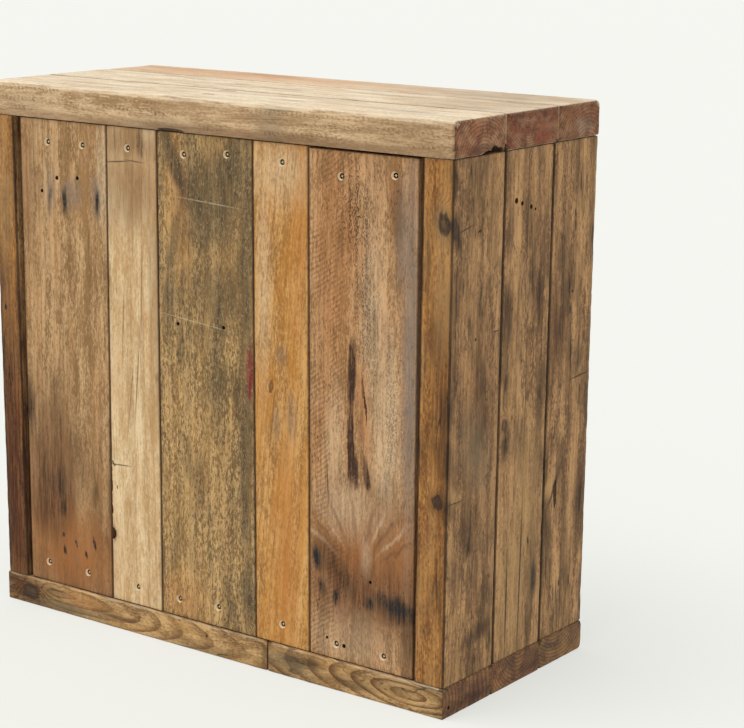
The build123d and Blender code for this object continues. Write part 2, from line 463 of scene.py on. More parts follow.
DOT_CHAINS = Cloud(Follow.GRAIN, (0.16, 0.16, 0.005), 1.0, 0.5, 14.0)
TICK_SPREAD = Cloud(Follow.PIECE, (0.2, 0.2, 0.1), 3.0, 0.7, 15.0)
DOTS = Cloud(Follow.PIECE, (0.72, 0.72, 0.34), 1.0, 0.5, 16.0)


class TimberShader:
    """Builds the material of one piece of timber."""

    def __init__(self, name: str, timber: Timber, place: Place, marks: list[Mark]) -> None:
        """Start an empty material for a piece.

        Args:
            name: The material's name.
            timber: The finish.
            place: Where the piece lies.
            marks: What its faces carry.
        """
        self.material = empty_material(name)
        self.graph = Graph(self.material.node_tree)
        self.timber = timber
        self.place = place
        self.marks = marks

    def build(self) -> bpy.types.Material:
        """Make the whole node tree.

        Returns:
            The material.
        """
        g, timber = self.graph, self.timber
        self._lay_out()
        late = self._rings()
        fine, hair, grit, band, soft, fleck, check, mottle = (
            self._cloud(kind) for kind in (FIBRES, HAIRS, GRIT, BANDS, BLUSHES, PITS, CHECKS, MOTTLE)
        )
        blotch = self._cloud(replace(BLOTCHES, scale=timber.blotch))
        grain = (
            (fine - 0.5) * (1.7 * timber.streak) + (hair - 0.5) * 0.9 + (grit - 0.5) * (3.0 * timber.grit)
            + (band - 0.5) * (1.9 * timber.band) + (mottle - 0.5) * 2.0 + 0.5
        )
        colour = self._tones(grain.step(-0.1, 1.1))
        colour = g.blend(soft.step(0.42, 0.66) * timber.blushing, colour, timber.blush)
        late = late * (mottle.step(0.3, 0.62) * 0.7 + 0.3 + self.on_end * 0.4)
        ring_strength = self.on_end * (0.5 - timber.ring_strength) + timber.ring_strength
        colour = g.blend(late * ring_strength, colour, timber.late, "MULTIPLY")
        patches = blotch + (fine - 0.5) * 0.5 + (grit - 0.5) * 0.4
        worn = patches.step(timber.weather_cut - 0.12, timber.weather_cut + 0.16)
        colour = g.blend(worn * timber.weathering, colour, timber.weather)
        crowd = self._kind_mask(Kind.SPECKS)
        speck = (fleck + (soft - 0.5) * 0.35).step(0.66, 0.74) * timber.flecks
        if crowd is not None:
            chain = (self._cloud(DOT_CHAINS) - 0.5) * 0.5
            dots = self._cloud(DOTS)
            speck = speck.math("MAXIMUM", (dots + chain + crowd * 0.1).step(0.64, 0.7) * crowd)
        line = (check - 0.5).math("ABSOLUTE").step(0.026, 0.006) * blotch.step(0.5, 0.6) * timber.checks
        colour = g.blend(speck, colour, PIT)
        colour = g.blend(line, colour, CHECK)
        colour, height = self._marks(colour, (fine - 0.5) + (grit - 0.5) * 0.8)
        for mark in self._knots():
            reach = self._range(mark, True)
            rim = reach.step(0.3, 0.95) * reach.step(1.3, 0.95) * (mark.strength * 0.55)
            colour = g.blend(rim, colour, KNOT_RIM)
        if timber.scuff:
            rubbed = self._cloud(SCUFFS).step(0.56, 0.68)
            colour = g.blend(rubbed * timber.scuff, colour, SCUFFED)
        colour = self._arrises(colour, fine * 0.6 + blotch * 0.4)
        saw = self._saw_marks(hair, soft)
        if saw is not None:
            colour = g.blend(saw * timber.saw_depth, colour, SAW_SHADE, "MULTIPLY")
            height = height - saw * 0.1
        height = height + (fine - 0.5) * 0.7 + (hair - 0.5) * 0.5 - late * 0.1 - speck * 0.5
        self._surface(colour, height - line * 0.8, (fine - 0.5) * 0.3 + worn * 0.1 + 0.66)
        return self.material

    def _cloud(self, cloud: Cloud) -> Sock:
        """Lay a noise over the piece, shifted by the timber's seed and the noise's salt."""
        place = self.grain if cloud.follow is Follow.GRAIN else self.local
        seed, salt = self.timber.seed * 37.0, cloud.salt
        shift = (seed + salt * 5.0, salt * 11.0, seed - salt * 7.0)
        return self.graph.noise(self.graph.stretch(place, cloud.scale, shift), cloud.detail, cloud.roughness)

    def _lay_out(self) -> None:
        """Set up the places in mm: across, through and along the piece."""
        g = self.graph
        across, through, along = self.place.lie.value
        found = g.node("ShaderNodeTexCoord", {}, {}, "Object")
        parts = g.split(g.stretch(found, (1 / MM, 1 / MM, 1 / MM)))
        self.local = g.node("ShaderNodeCombineXYZ", {}, dict(enumerate(parts[k] for k in (across, through, along))))
        seed = self.timber.seed * 11.0
        rough = g.noise(g.stretch(self.local, (0.16, 0.16, 0.05), (seed, 0.0, 3.0)), 3.0, 0.6, "Color")
        bend = g.noise(g.stretch(self.local, (0.011, 0.011, 0.0032), (2.0, seed, 5.0)), 1.5, 0.45, "Color")
        middle = (0.5, 0.5, 0.5)
        self.ragged = g.vector("MULTIPLY_ADD", g.vector("SUBTRACT", rough, middle), (9.0, 9.0, 16.0), self.local)
        reach = self.timber.wobble
        bent = g.vector("MULTIPLY_ADD", g.vector("SUBTRACT", bend, middle), (reach, reach, 0.0), self.local)
        parts = g.split(bent)
        if self.timber.lean:
            parts[0] = parts[0] + parts[2] * self.timber.lean
        self.grain = g.node("ShaderNodeCombineXYZ", {}, dict(enumerate(parts)))
        facing = g.split(g.vector("ABSOLUTE", g.node("ShaderNodeTexCoord", {}, {}, "Normal")))
        self.on_edge = facing[across].step(0.55, 0.8)
        self.on_end = facing[along].step(0.55, 0.8)

    def _seat(self, mark: Mark) -> tuple[Triple, Triple, Triple]:
        """Place, turn and size of a mark's ellipsoid, in across, through and along order."""
        order = self.place.lie.value
        spot, normal = self.place.on(mark.face, *mark.place)
        slot = order.index(normal)
        flat = [k for k in range(3) if k != slot]
        size = [mark.depth] * 3
        turn = [0.0] * 3
        size[flat[0]], size[flat[1]] = mark.reach
        turn[slot] = math.radians(mark.turn)
        return tuple(spot[axis] for axis in order), tuple(turn), tuple(size)

    def _range(self, mark: Mark, ragged: bool) -> Sock:
        """Distance from a mark's middle, 1 at its outline."""
        centre, turn, size = self._seat(mark)
        place = self.ragged if ragged else self.local
        sockets = {"Vector": place, "Location": centre, "Rotation": turn, "Scale": size}
        seated = self.graph.node("ShaderNodeMapping", {"vector_type": "TEXTURE"}, sockets)
        return self.graph.vector("LENGTH", seated, output=1)

    def _knots(self) -> list[Mark]:
        """The marks that are knots."""
        return [mark for mark in self.marks if mark.kind is Kind.KNOT]

    def _rings(self) -> Sock:
        """Growth rings round the pith, bent round the knots.

        Returns:
            The mask of the dark late wood.
        """
        g, timber = self.graph, self.timber
        across, through, along = self.place.lie.value
        centre = self.place.centre
        shift = timber.lean * centre[along]
        pith = (centre[across] + timber.pith[0] + shift, centre[through] + timber.pith[1], 0.0)
        reach = g.vector("LENGTH", g.stretch(g.vector("SUBTRACT", self.grain, pith), (1.0, 1.0, 0.0)), output=1)
        for mark in self._knots():
            span = self._range(mark, False) * 0.62
            reach = reach + (-(span * span)).math("EXPONENT") * (2.2 * max(mark.reach))
        part = (reach / timber.ring).math("FRACT")
        return part.step(0.35, 0.92) * part.step(1.0, 0.93)

    def _tones(self, share: Sock) -> Sock:
        """Colour of the grain on the broad, edge and end faces."""
        g, timber = self.graph, self.timber
        broad = g.blend(share, timber.broad.dark, timber.broad.light)
        edge = g.blend(share, timber.edge.dark, timber.edge.light)
        end = g.blend(share, timber.end.dark, timber.end.light)
        return g.blend(self.on_end, g.blend(self.on_edge, broad, edge), end)

    def _kind_mask(self, kind: Kind) -> Sock | None:
        """Where a kind of mark lies, or None where the piece has none of it."""
        trait = kind.value
        mask = None
        for mark in (m for m in self.marks if m.kind is kind):
            inside = self._range(mark, trait.ragged).step(1 + trait.softness, 1 - trait.softness) * mark.strength
            mask = inside if mask is None else mask.math("MAXIMUM", inside)
        return mask

    def _marks(self, colour: Sock, fibre: Sock) -> tuple[Sock, Sock | float]:
        """Lay each kind of mark over the grain.

        Args:
            colour: The bare wood's colour.
            fibre: Fibres and grit, about 0, which break up the soft marks.

        Returns:
            The marked colour, and the relief in mm.
        """
        height = 0.0
        for kind in Kind:
            trait = kind.value
            mask = self._kind_mask(kind)
            if mask is None or not trait.strength:
                continue
            if kind is not Kind.CRACK:
                mask = mask * (fibre * 2.4 + 1.0)
            mask = (mask * trait.strength).math("MINIMUM", 1.0).math("MAXIMUM", 0.0)
            colour = self.graph.blend(mask, colour, trait.colour, trait.mode)
            if trait.relief:
                height = height + mask * trait.relief
        return colour, height

    def _arrises(self, colour: Sock, patch: Sock) -> Sock:
        """Paint pale the arrises that hands reach, as rubbed wear with a painted highlight, paint shade on the others
        and in the seams, and colour the cuts: fresh wood in the countersinks, painted shade in the nail holes and
        chips.
        """
        g, amount = self.graph, self.timber.arris
        edge = g.node("ShaderNodeAttribute", {"attribute_name": "arris"}, {}, "Fac")
        # Painted highlight with rubbed wear on arrises whose arris value is positive.
        colour = g.blend(edge.step(0.1, 1.0) * patch.step(0.35, 0.65) * amount, colour, RUB_AND_HIGHLIGHT)
        # Painted shade in the seams and on arrises whose arris value is negative.
        colour = g.blend((-edge).step(0.4, 1.0) * (patch * 0.6 + 0.6) * amount, colour, ARRIS_SHADE)
        cut = g.node("ShaderNodeAttribute", {"attribute_name": "cut"}, {}, "Fac")
        colour = g.blend(cut.step(0.2, 0.9) * 0.8, colour, FRESH_CUT)
        # Painted shade inside the nail holes and torn chips, whose cut value is -1.
        return g.blend((-cut).step(0.2, 0.9) * 0.8, colour, HOLE_SHADE)

    def _saw_marks(self, hair: Sock, soft: Sock) -> Sock | None:
        """Ticks or slanted lines that a saw left, or None."""
        g = self.graph
        if self.timber.saw is Saw.NONE:
            return None
        across, through, along = g.split(self.grain)
        patch = self._cloud(SAWN_PATCHES).step(0.42, 0.56)
        if self.timber.saw is Saw.TICKS:
            spread = self._cloud(TICK_SPREAD)
            wave = (along * 0.95 + through * 0.6 + spread * 16.0 + soft * 20.0).math("SINE")
            row = (through * 0.55 + spread * 5.0 + soft * 6.0).math("SINE")
            return wave.step(0.0, 0.9) * row.step(-0.2, 0.8) * spread.step(0.4, 0.56) * patch * self.on_edge
        middle = self.place.centre[self.place.lie.value[0]]
        wave = (along * 1.05 - across * 0.68 + hair * 1.6 + soft * 9.0).math("SINE")
        return wave.step(-0.2, 0.95) * patch * across.step(middle + 4.0, middle - 40.0)

    def _surface(self, colour: Sock, height: Sock, roughness: Sock) -> None:
        """Feed the shader."""
        g = self.graph
        bump = g.node("ShaderNodeBump", {}, {"Strength": 0.7, "Distance": MM, "Height": height}, "Normal")
        sockets = {"Base Color": colour, "Roughness": roughness, "Normal": bump, "Specular IOR Level": 0.3}
        g.finish(g.node("ShaderNodeBsdfPrincipled", {}, sockets))


# ------------------------------------------------------------------ geometry nodes
class GeoTree:
    """Builds one geometry node tree with named inputs."""

    def __init__(self, name: str) -> None:
        """Start a tree with a mesh going in and a mesh coming out."""
        self.tree = bpy.data.node_groups.new(name, "GeometryNodeTree")
        self.socket("Geometry", "NodeSocketGeometry")
        self.tree.interface.new_socket("Geometry", in_out="OUTPUT", socket_type="NodeSocketGeometry")
        self.start = self.tree.nodes.new("NodeGroupInput")
        self.end = self.tree.nodes.new("NodeGroupOutput")

    def socket(self, name: str, kind: str) -> None:
        """Add a named input."""
        self.tree.interface.new_socket(name, in_out="INPUT", socket_type=kind)

    def inlet(self, name: str) -> bpy.types.NodeSocket:
        """The value of a named input inside the tree."""
        return self.start.outputs[name]

    def node(self, kind: str, settings: dict, sockets: dict, output: int | str = 0) -> bpy.types.NodeSocket:
        """Add one node as add_node does, and return one of its outputs."""
        return add_node(self.tree, kind, settings, sockets).outputs[output]

    def calc(self, operation: str, *values: object) -> bpy.types.NodeSocket:
        """Add a Math node."""
        return self.node("ShaderNodeMath", {"operation": operation}, dict(enumerate(values)))

    def vector(self, operation: str, *values: object) -> bpy.types.NodeSocket:
        """Add a Vector Math node."""
        return self.node("ShaderNodeVectorMath", {"operation": operation}, dict(enumerate(values)))

    def attribute(self, name: str, kind: str = "FLOAT_VECTOR") -> bpy.types.NodeSocket:
        """Read a named attribute."""
        return self.node("GeometryNodeInputNamedAttribute", {"data_type": kind}, {"Name": name})

    def tagged(self, mesh: bpy.types.NodeSocket, name: str, value: float) -> bpy.types.NodeSocket:
        """Write a number on every face of a mesh."""
        settings = {"data_type": "FLOAT", "domain": "FACE"}
        return self.node("GeometryNodeStoreNamedAttribute", settings, {"Geometry": mesh, "Name": name, "Value": value})

    def aimed(self, points: bpy.types.NodeSocket, shape: bpy.types.NodeSocket) -> bpy.types.NodeSocket:
        """Put a copy of a shape on each point, turned along its aim, spun and sized by its reach."""
        found = self.node("GeometryNodeObjectInfo", {}, {"Object": points}, "Geometry")
        cloud = self.node("GeometryNodeMeshToPoints", {}, {"Mesh": found})
        turn = self.node("FunctionNodeAlignRotationToVector", {"axis": "Z"}, {"Vector": self.attribute("aim")})
        sockets = {"Points": cloud, "Instance": shape, "Rotation": turn, "Scale": self.attribute("reach")}
        placed = self.node("GeometryNodeInstanceOnPoints", {}, sockets)
        spin = self.node("ShaderNodeCombineXYZ", {}, {2: self.attribute("spin", "FLOAT")})
        sockets = {"Instances": placed, "Rotation": spin, "Local Space": True}
        return self.node("GeometryNodeRotateInstances", {}, sockets)

    def finish(self, mesh: bpy.types.NodeSocket) -> bpy.types.NodeTree:
        """End the tree with real geometry that carries the material."""
        real = self.node("GeometryNodeRealizeInstances", {}, {"Geometry": mesh})
        dressed = self.node("GeometryNodeSetMaterial", {}, {"Geometry": real, "Material": self.inlet("Material")})
        self.tree.links.new(dressed, self.end.inputs["Geometry"])
        return self.tree


def apply_tree(start: bpy.types.Object, tree: bpy.types.NodeTree, values: dict, name: str) -> bpy.types.Object:
    """Run an object through a tree and keep the result as a plain mesh.

    Args:
        start: The object that the tree works on. It is removed afterwards.
        tree: The geometry node tree.
        values: The tree's inputs by name.
        name: The new object's name.

    Returns:
        The new object, at the origin.
    """
    modifier = start.modifiers.new("made", "NODES")
    modifier.node_group = tree
    for item in tree.interface.items_tree:
        if item.in_out == "INPUT" and item.name in values:
            modifier[item.identifier] = values[item.name]
    graph = bpy.context.evaluated_depsgraph_get()
    mesh = bpy.data.meshes.new_from_object(start.evaluated_get(graph), preserve_all_data_layers=True, depsgraph=graph)
    start.modifiers.remove(modifier)
    bpy.data.objects.remove(start)
    mesh.name = name
    mesh.set_sharp_from_angle(angle=SHARP_ANGLE)
    return put(name, mesh)


@dataclass(frozen=True)
class ScrewSize:
    """Sizes of a countersunk wood screw and its hole, in metres."""

    head: float = 0.0033
    head_height: float = 0.0021
    shank: float = 0.00175
    sink: float = 0.0024
    clear: float = 0.002
    splay: float = 0.0026
    recess: float = 0.0034
    sides: int = 24


PATCHINESS = 2.2
SWELL_SCALE = 9.0
TORN_SCALE = 1.6
TORN_DEPTH = 0.45
NAIL_SIDES = 14
BAR_SHARE = 0.26


def worn_timber_tree(size: ScrewSize) -> bpy.types.NodeTree:
    """Tree that wears a plank's arrises and cuts its holes and chips.

    Args:
        size: The screws that go through the plank.

    Returns:
        The tree.
    """
    tree = GeoTree("worn_timber")
    for name in ("Wear", "Waviness", "Lump Scale", "Seed"):
        tree.socket(name, "NodeSocketFloat")
    for name in ("Screw Points", "Nail Points", "Chip Points"):
        tree.socket(name, "NodeSocketObject")
    tree.socket("Cut", "NodeSocketBool")
    tree.socket("Material", "NodeSocketMaterial")
    spot = tree.node("GeometryNodeInputPosition", {}, {})
    normal = tree.node("GeometryNodeInputNormal", {}, {})
    arris = tree.calc("ABSOLUTE", tree.attribute("arris", "FLOAT"))

    def lumps(scale: object, detail: float, output: int | str = 0) -> bpy.types.NodeSocket:
        """Noise over the surface, shifted by the seed."""
        sockets = {"Vector": spot, "W": tree.inlet("Seed"), "Scale": scale, "Detail": detail}
        return tree.node("ShaderNodeTexNoise", {"noise_dimensions": "4D"}, sockets, output)

    worn = tree.calc("POWER", lumps(tree.inlet("Lump Scale"), 4.0), PATCHINESS)
    inward = tree.calc("MULTIPLY", tree.calc("MULTIPLY", worn, arris), tree.inlet("Wear"))
    swell = tree.calc("MULTIPLY", tree.calc("SUBTRACT", lumps(SWELL_SCALE, 1.0), 0.5), tree.inlet("Waviness"))
    amount = tree.calc("SUBTRACT", swell, inward)
    push = tree.node("ShaderNodeVectorMath", {"operation": "SCALE"}, {0: normal, "Scale": amount})
    shaped = tree.node("GeometryNodeSetPosition", {}, {"Geometry": tree.inlet("Geometry"), "Offset": push})
    sockets = {
        "Vertices": size.sides, "Radius Top": size.head, "Radius Bottom": size.head + size.splay,
        "Depth": size.sink + size.clear,
    }
    cone = tree.node("GeometryNodeMeshCone", {}, sockets, "Mesh")
    holes = tree.aimed(tree.inlet("Screw Points"), tree.tagged(cone, "cut", 1.0))
    bore = tree.node("GeometryNodeMeshCylinder", {}, {"Vertices": NAIL_SIDES, "Radius": 1.0, "Depth": 2.0}, "Mesh")
    # Nail bores and chips carry cut -1, which the timber shader paints with shade.
    nails = tree.aimed(tree.inlet("Nail Points"), tree.tagged(bore, "cut", -1.0))
    ball = tree.node("GeometryNodeMeshIcoSphere", {}, {"Radius": 1.0, "Subdivisions": 4}, "Mesh")
    shake = tree.vector("SUBTRACT", lumps(TORN_SCALE, 2.0, "Color"), (0.5, 0.5, 0.5))
    offset = tree.vector("MULTIPLY", shake, (TORN_DEPTH,) * 3)
    torn = tree.node("GeometryNodeSetPosition", {}, {"Geometry": ball, "Offset": offset})
    chips = tree.aimed(tree.inlet("Chip Points"), tree.tagged(torn, "cut", -1.0))
    settings = {"operation": "DIFFERENCE", "solver": "EXACT"}
    cut = tree.node("GeometryNodeMeshBoolean", settings, {"Mesh 1": shaped, "Mesh 2": [chips, holes, nails]})
    choices = {"Switch": tree.inlet("Cut"), "False": shaped, "True": cut}
    return tree.finish(tree.node("GeometryNodeSwitch", {"input_type": "GEOMETRY"}, choices))


def screw_tree(size: ScrewSize) -> bpy.types.NodeTree:
    """Tree that puts a cross-recess countersunk screw on each point.

    Args:
        size: The screw's sizes.

    Returns:
        The tree.
    """
    tree = GeoTree("countersunk_screws")
    for name in ("Head Radius", "Head Height", "Shank Radius", "Length", "Recess"):
        tree.socket(name, "NodeSocketFloat")
    tree.socket("Screw Points", "NodeSocketObject")
    tree.socket("Material", "NodeSocketMaterial")
    sockets = {
        "Vertices": size.sides, "Radius Top": tree.inlet("Shank Radius"), "Radius Bottom": tree.inlet("Head Radius"),
        "Depth": tree.inlet("Head Height"),
    }
    head = tree.node("GeometryNodeMeshCone", {}, sockets, "Mesh")
    recess = tree.inlet("Recess")
    slot = tree.calc("MULTIPLY", recess, BAR_SHARE)
    bars = []
    for first, second in ((recess, slot), (slot, recess)):
        sides = tree.node("ShaderNodeCombineXYZ", {}, {0: first, 1: second, 2: recess})
        bars.append(tree.node("GeometryNodeMeshCube", {}, {"Size": sides}, "Mesh"))
    cross = tree.node("GeometryNodeMeshBoolean", {"operation": "UNION", "solver": "EXACT"}, {"Mesh 2": bars})
    settings = {"operation": "DIFFERENCE", "solver": "EXACT"}
    dished = tree.node("GeometryNodeMeshBoolean", settings, {"Mesh 1": head, "Mesh 2": cross})
    radius = tree.calc("MULTIPLY", tree.inlet("Shank Radius"), 0.98)
    sockets = {"Vertices": size.sides, "Radius": radius, "Depth": tree.inlet("Length")}
    rod = tree.node("GeometryNodeMeshCylinder", {}, sockets, "Mesh")
    half = tree.calc("MULTIPLY", tree.inlet("Length"), 0.5)
    lift = tree.calc("ADD", half, tree.calc("MULTIPLY", tree.inlet("Head Height"), 0.9))
    shift = tree.node("ShaderNodeCombineXYZ", {}, {2: lift})
    shank = tree.node("GeometryNodeTransform", {}, {"Geometry": rod, "Translation": shift})
    whole = tree.node("GeometryNodeJoinGeometry", {}, {"Geometry": [dished, shank]})
    return tree.finish(tree.aimed(tree.inlet("Screw Points"), whole))


def point_cloud(name: str, rows: list[PointRow]) -> bpy.types.Object:
    """Make an object whose vertices carry an aim, a reach and a spin.

    Args:
        name: The object's name.
        rows: For each point its place, aim, reach and spin, in metres and radians.

    Returns:
        The object, which isn't part of the cabinet and is removed once used.
    """
    mesh = bpy.data.meshes.new(name)
    mesh.from_pydata([tuple(row[0]) for row in rows], [], [])
    for label, kind in (("aim", "FLOAT_VECTOR"), ("reach", "FLOAT_VECTOR"), ("spin", "FLOAT")):
        mesh.attributes.new(label, kind, "POINT")
    for index, (_, toward, size, angle) in enumerate(rows):
        mesh.attributes["aim"].data[index].vector = toward
        mesh.attributes["reach"].data[index].vector = size
        mesh.attributes["spin"].data[index].value = angle
    return put(name, mesh)


# ------------------------------------------------------------------ planks
@dataclass(frozen=True)
class Nail:
    """An old nail hole on a showing face: its place there, its radius and its depth, in mm."""

    place: tuple[float, float]
    radius: float = 2.0
    depth: float = 14.0
    face: Face = Face.BROAD


@dataclass(frozen=True)
class Chip:
    """A lump torn out of a piece: its middle and reach, in mm in the row frame."""

    middle: Triple
    reach: Triple


@dataclass
class Plank:
    """One piece of timber, rebuilt from its node's ends. Lengths are in mm."""

    node: str
    slot: str
    lie: Lie
    timber: Timber
    outward: Triple = (0.0, -1.0, 0.0)
    marks: list[Mark] = field(default_factory=list)
    nails: list[Nail] = field(default_factory=list)
    chips: list[Chip] = field(default_factory=list)
    eases: tuple[float, ...] = (1.8, 1.8, 1.8, 1.8)
    # The next three set the arris tone per corner and at the ends: positive paints a pale rub with a painted highlight,
    # negative paints shade; the size also sets how deep the arris wears.
    corner_highlight_shade: tuple[float, ...] = (-1.0, -1.0, -1.0, -1.0)
    end_shade: float = -0.6
    end_highlight_shade: float = -0.6
    end_ease: float = 1.6
    end_insets: tuple[float, ...] = (3.0, 8.0)
    wear: float = 1.6
    waviness: float = 0.35
    lump_scale: float = 60.0
    arc_steps: int = 3
    arris_reach: float = 1.4
    arris_fade: float = 0.3
    spacing: float = 5.0
    ring_spacing: float = 8.0
    end_band: float = 2.5

    def ends(self, nodes: dict) -> tuple[list[float], list[float], float, float]:
        """Read the section at each end of the node.

        Args:
            nodes: The frame's node objects.

        Returns:
            The low and high ends' across and through limits, and the two ends along the grain.
        """
        across, through, along = self.lie.value
        points = [v.co / MM for v in nodes[self.node].data.vertices]
        low = min(p[along] for p in points)
        high = max(p[along] for p in points)
        limits = []
        for end in (low, high):
            ring = [p for p in points if abs(p[along] - end) < self.end_band]
            limits.append([
                min(p[across] for p in ring), max(p[across] for p in ring),
                min(p[through] for p in ring), max(p[through] for p in ring),
            ])
        return limits[0], limits[1], low, high

    def outline(self, width: float, thickness: float) -> list[tuple[float, ...]]:
        """Points round a section, going round its four eased corners.

        Args:
            width: The section's size across.
            thickness: Its size through.

        Returns:
            For each point the share and offset across, the share and offset through, and how
            much of an arris it is, positive for a pale rub with a painted highlight and negative
            for painted shade.
        """
        corners = [(0, 0, 180), (1, 0, 270), (1, 1, 0), (0, 1, 90)]
        points = []
        for index, (su, sv, first) in enumerate(corners):
            ease = self.eases[index]
            for k in range(self.arc_steps + 1):
                angle = math.radians(first + 90 * k / self.arc_steps)
                nu, nv = math.cos(angle), math.sin(angle)
                ou = (ease if su == 0 else -ease) + ease * nu
                ov = (ease if sv == 0 else -ease) + ease * nv
                points.append((su, ou, sv, ov, self.corner_highlight_shade[index]))
            after = (index + 1) % 4
            nsu, nsv, _ = corners[after]
            reach = width if nsu != su else thickness
            flat = reach - ease - self.eases[after]
            count = max(1, round(flat / self.ring_spacing))
            inner = [(ease + self.arris_reach) / reach]
            inner += [(ease + flat * k / count) / reach for k in range(1, count)]
            inner += [1 - (self.eases[after] + self.arris_reach) / reach]
            corner_highlight_shade = [self.arris_fade * self.corner_highlight_shade[index]] + [0.0] * (count - 1) + [self.arris_fade * self.corner_highlight_shade[after]]
            for share, highlight_shade in zip(inner, corner_highlight_shade):
                points.append((su + (nsu - su) * share, 0.0, sv + (nsv - sv) * share, 0.0, highlight_shade))
        return points

    def stations(self, low: float, high: float) -> list[tuple[float, float, float]]:
        """Stops along the grain: place, inset of the section and how much of an arris it is."""
        ease, length = self.end_ease, high - low
        start = []
        for k in range(self.arc_steps + 1):
            angle = math.radians(90 * k / self.arc_steps)
            worn = 1.0 if k < self.arc_steps else 0.6
            start.append((ease * (1 - math.sin(angle)), ease * (1 - math.cos(angle)), worn))
        start.sort()
        count = round((length - 2 * ease) / self.spacing)
        inner = [(ease + (length - 2 * ease) * k / count, 0.0, 0.0) for k in range(1, count)]
        ending = [(length - place, inset, worn) for place, inset, worn in reversed(start)]
        return [(low + place, inset, worn) for place, inset, worn in start + inner + ending]

    def blank(self, nodes: dict) -> tuple[bpy.types.Object, Place]:
        """Make the unworn plank as a closed grid.

        Args:
            nodes: The frame's node objects.

        Returns:
            The object and the place that its material needs.
        """
        across, through, along = self.lie.value
        first, last, low, high = self.ends(nodes)
        section = self.outline(first[1] - first[0], first[3] - first[2])
        loops, arris, vertices = [], [], []
        rows = [(low, self.end_ease + inset, 0.0) for inset in reversed(self.end_insets)]
        rows += self.stations(low, high)
        rows += [(high, self.end_ease + inset, 0.0) for inset in self.end_insets]
        for place, inset, worn in rows:
            share = (place - low) / (high - low)
            w0, w1, t0, t1 = (a + (b - a) * share for a, b in zip(first, last))
            shrink_w, shrink_t = 1 - 2 * inset / (w1 - w0), 1 - 2 * inset / (t1 - t0)
            loop = []
            for u, ou, v, ov, edge in section:
                spot = Vector((0.0, 0.0, 0.0))
                w, t = w0 + (w1 - w0) * u + ou, t0 + (t1 - t0) * v + ov
                spot[across] = (w0 + w1) / 2 + (w - (w0 + w1) / 2) * shrink_w
                spot[through] = (t0 + t1) / 2 + (t - (t0 + t1) / 2) * shrink_t
                spot[along] = place
                loop.append(len(vertices))
                vertices.append(spot * MM)
                # End arrises on the high side through the piece (the upper side of level pieces) take the end tone that
                # may be a pale rub with a painted highlight; the others take painted shade.
                end_highlight_shade = self.end_highlight_shade if v == 1 and (0 < u < 1 or edge > 0) else self.end_shade
                highlight_shade = edge if abs(edge) >= worn else worn * end_highlight_shade
                arris.append(highlight_shade if inset <= self.end_ease else 0.0)
            loops.append(loop)
        faces = []
        count = len(section)
        for one, two in zip(loops, loops[1:]):
            faces += [(one[k], one[(k + 1) % count], two[(k + 1) % count], two[k]) for k in range(count)]
        faces += [tuple(reversed(loops[0])), tuple(loops[-1])]
        mesh = bpy.data.meshes.new(f"{self.node}_blank")
        mesh.from_pydata(vertices, [], faces)
        work = bmesh.new()
        work.from_mesh(mesh)
        bmesh.ops.recalc_face_normals(work, faces=work.faces)
        work.to_mesh(mesh)
        work.free()
        layer = mesh.attributes.new("arris", "FLOAT", "POINT")
        layer.data.foreach_set("value", arris)
        mesh.shade_smooth()
        low_corner, high_corner = (corner / MM for corner in box_of(vertices))
        return put(mesh.name, mesh), Place(low_corner, high_corner, self.lie, self.outward)

    def nail_rows(self, place: Place) -> list[PointRow]:
        """Points for the plank's nail holes."""
        rows = []
        for nail in self.nails:
            spot, normal = place.on(nail.face, *nail.place)
            aim = Vector((0.0, 0.0, 0.0))
            aim[normal] = -self.outward[normal]
            rows.append((spot * MM, aim, (nail.radius * MM, nail.radius * MM, nail.depth * MM), 0.0))
        return rows

    def chip_rows(self) -> list[PointRow]:
        """Points for the lumps torn out of the plank."""
        upright = Vector((0.0, 0.0, 1.0))
        return [(Vector(c.middle) * MM, upright, tuple(r * MM for r in c.reach), 0.0) for c in self.chips]

    def build(self, nodes: dict, tree: bpy.types.NodeTree, screws: list[PointRow]) -> bpy.types.Object:
        """Make the worn plank and put it in place of its node.

        Args:
            nodes: The frame's node objects.
            tree: The tree that wears and cuts the timber.
            screws: Every screw's mouth and aim.

        Returns:
            The finished piece.
        """
        start, place = self.blank(nodes)
        material = TimberShader(f"{self.node}_wood", self.timber, place, self.marks).build()
        groups = [[row for row in screws if place.holds(row[0] / MM)], self.nail_rows(place), self.chip_rows()]
        cutters = [point_cloud(f"cutters_{k}", rows) for k, rows in enumerate(groups)]
        values = {
            "Wear": self.wear * MM, "Waviness": self.waviness * MM, "Lump Scale": self.lump_scale,
            "Seed": self.timber.seed, "Screw Points": cutters[0], "Nail Points": cutters[1],
            "Chip Points": cutters[2], "Cut": any(groups), "Material": material,
        }
        made = apply_tree(start, tree, values, f"{self.node}_worn")
        for cutter in cutters:
            bpy.data.objects.remove(cutter)
        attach(made, BODY)
        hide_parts(self.node)
        LOG.info("%s: %d faces", made.name, len(made.data.polygons))
        return made


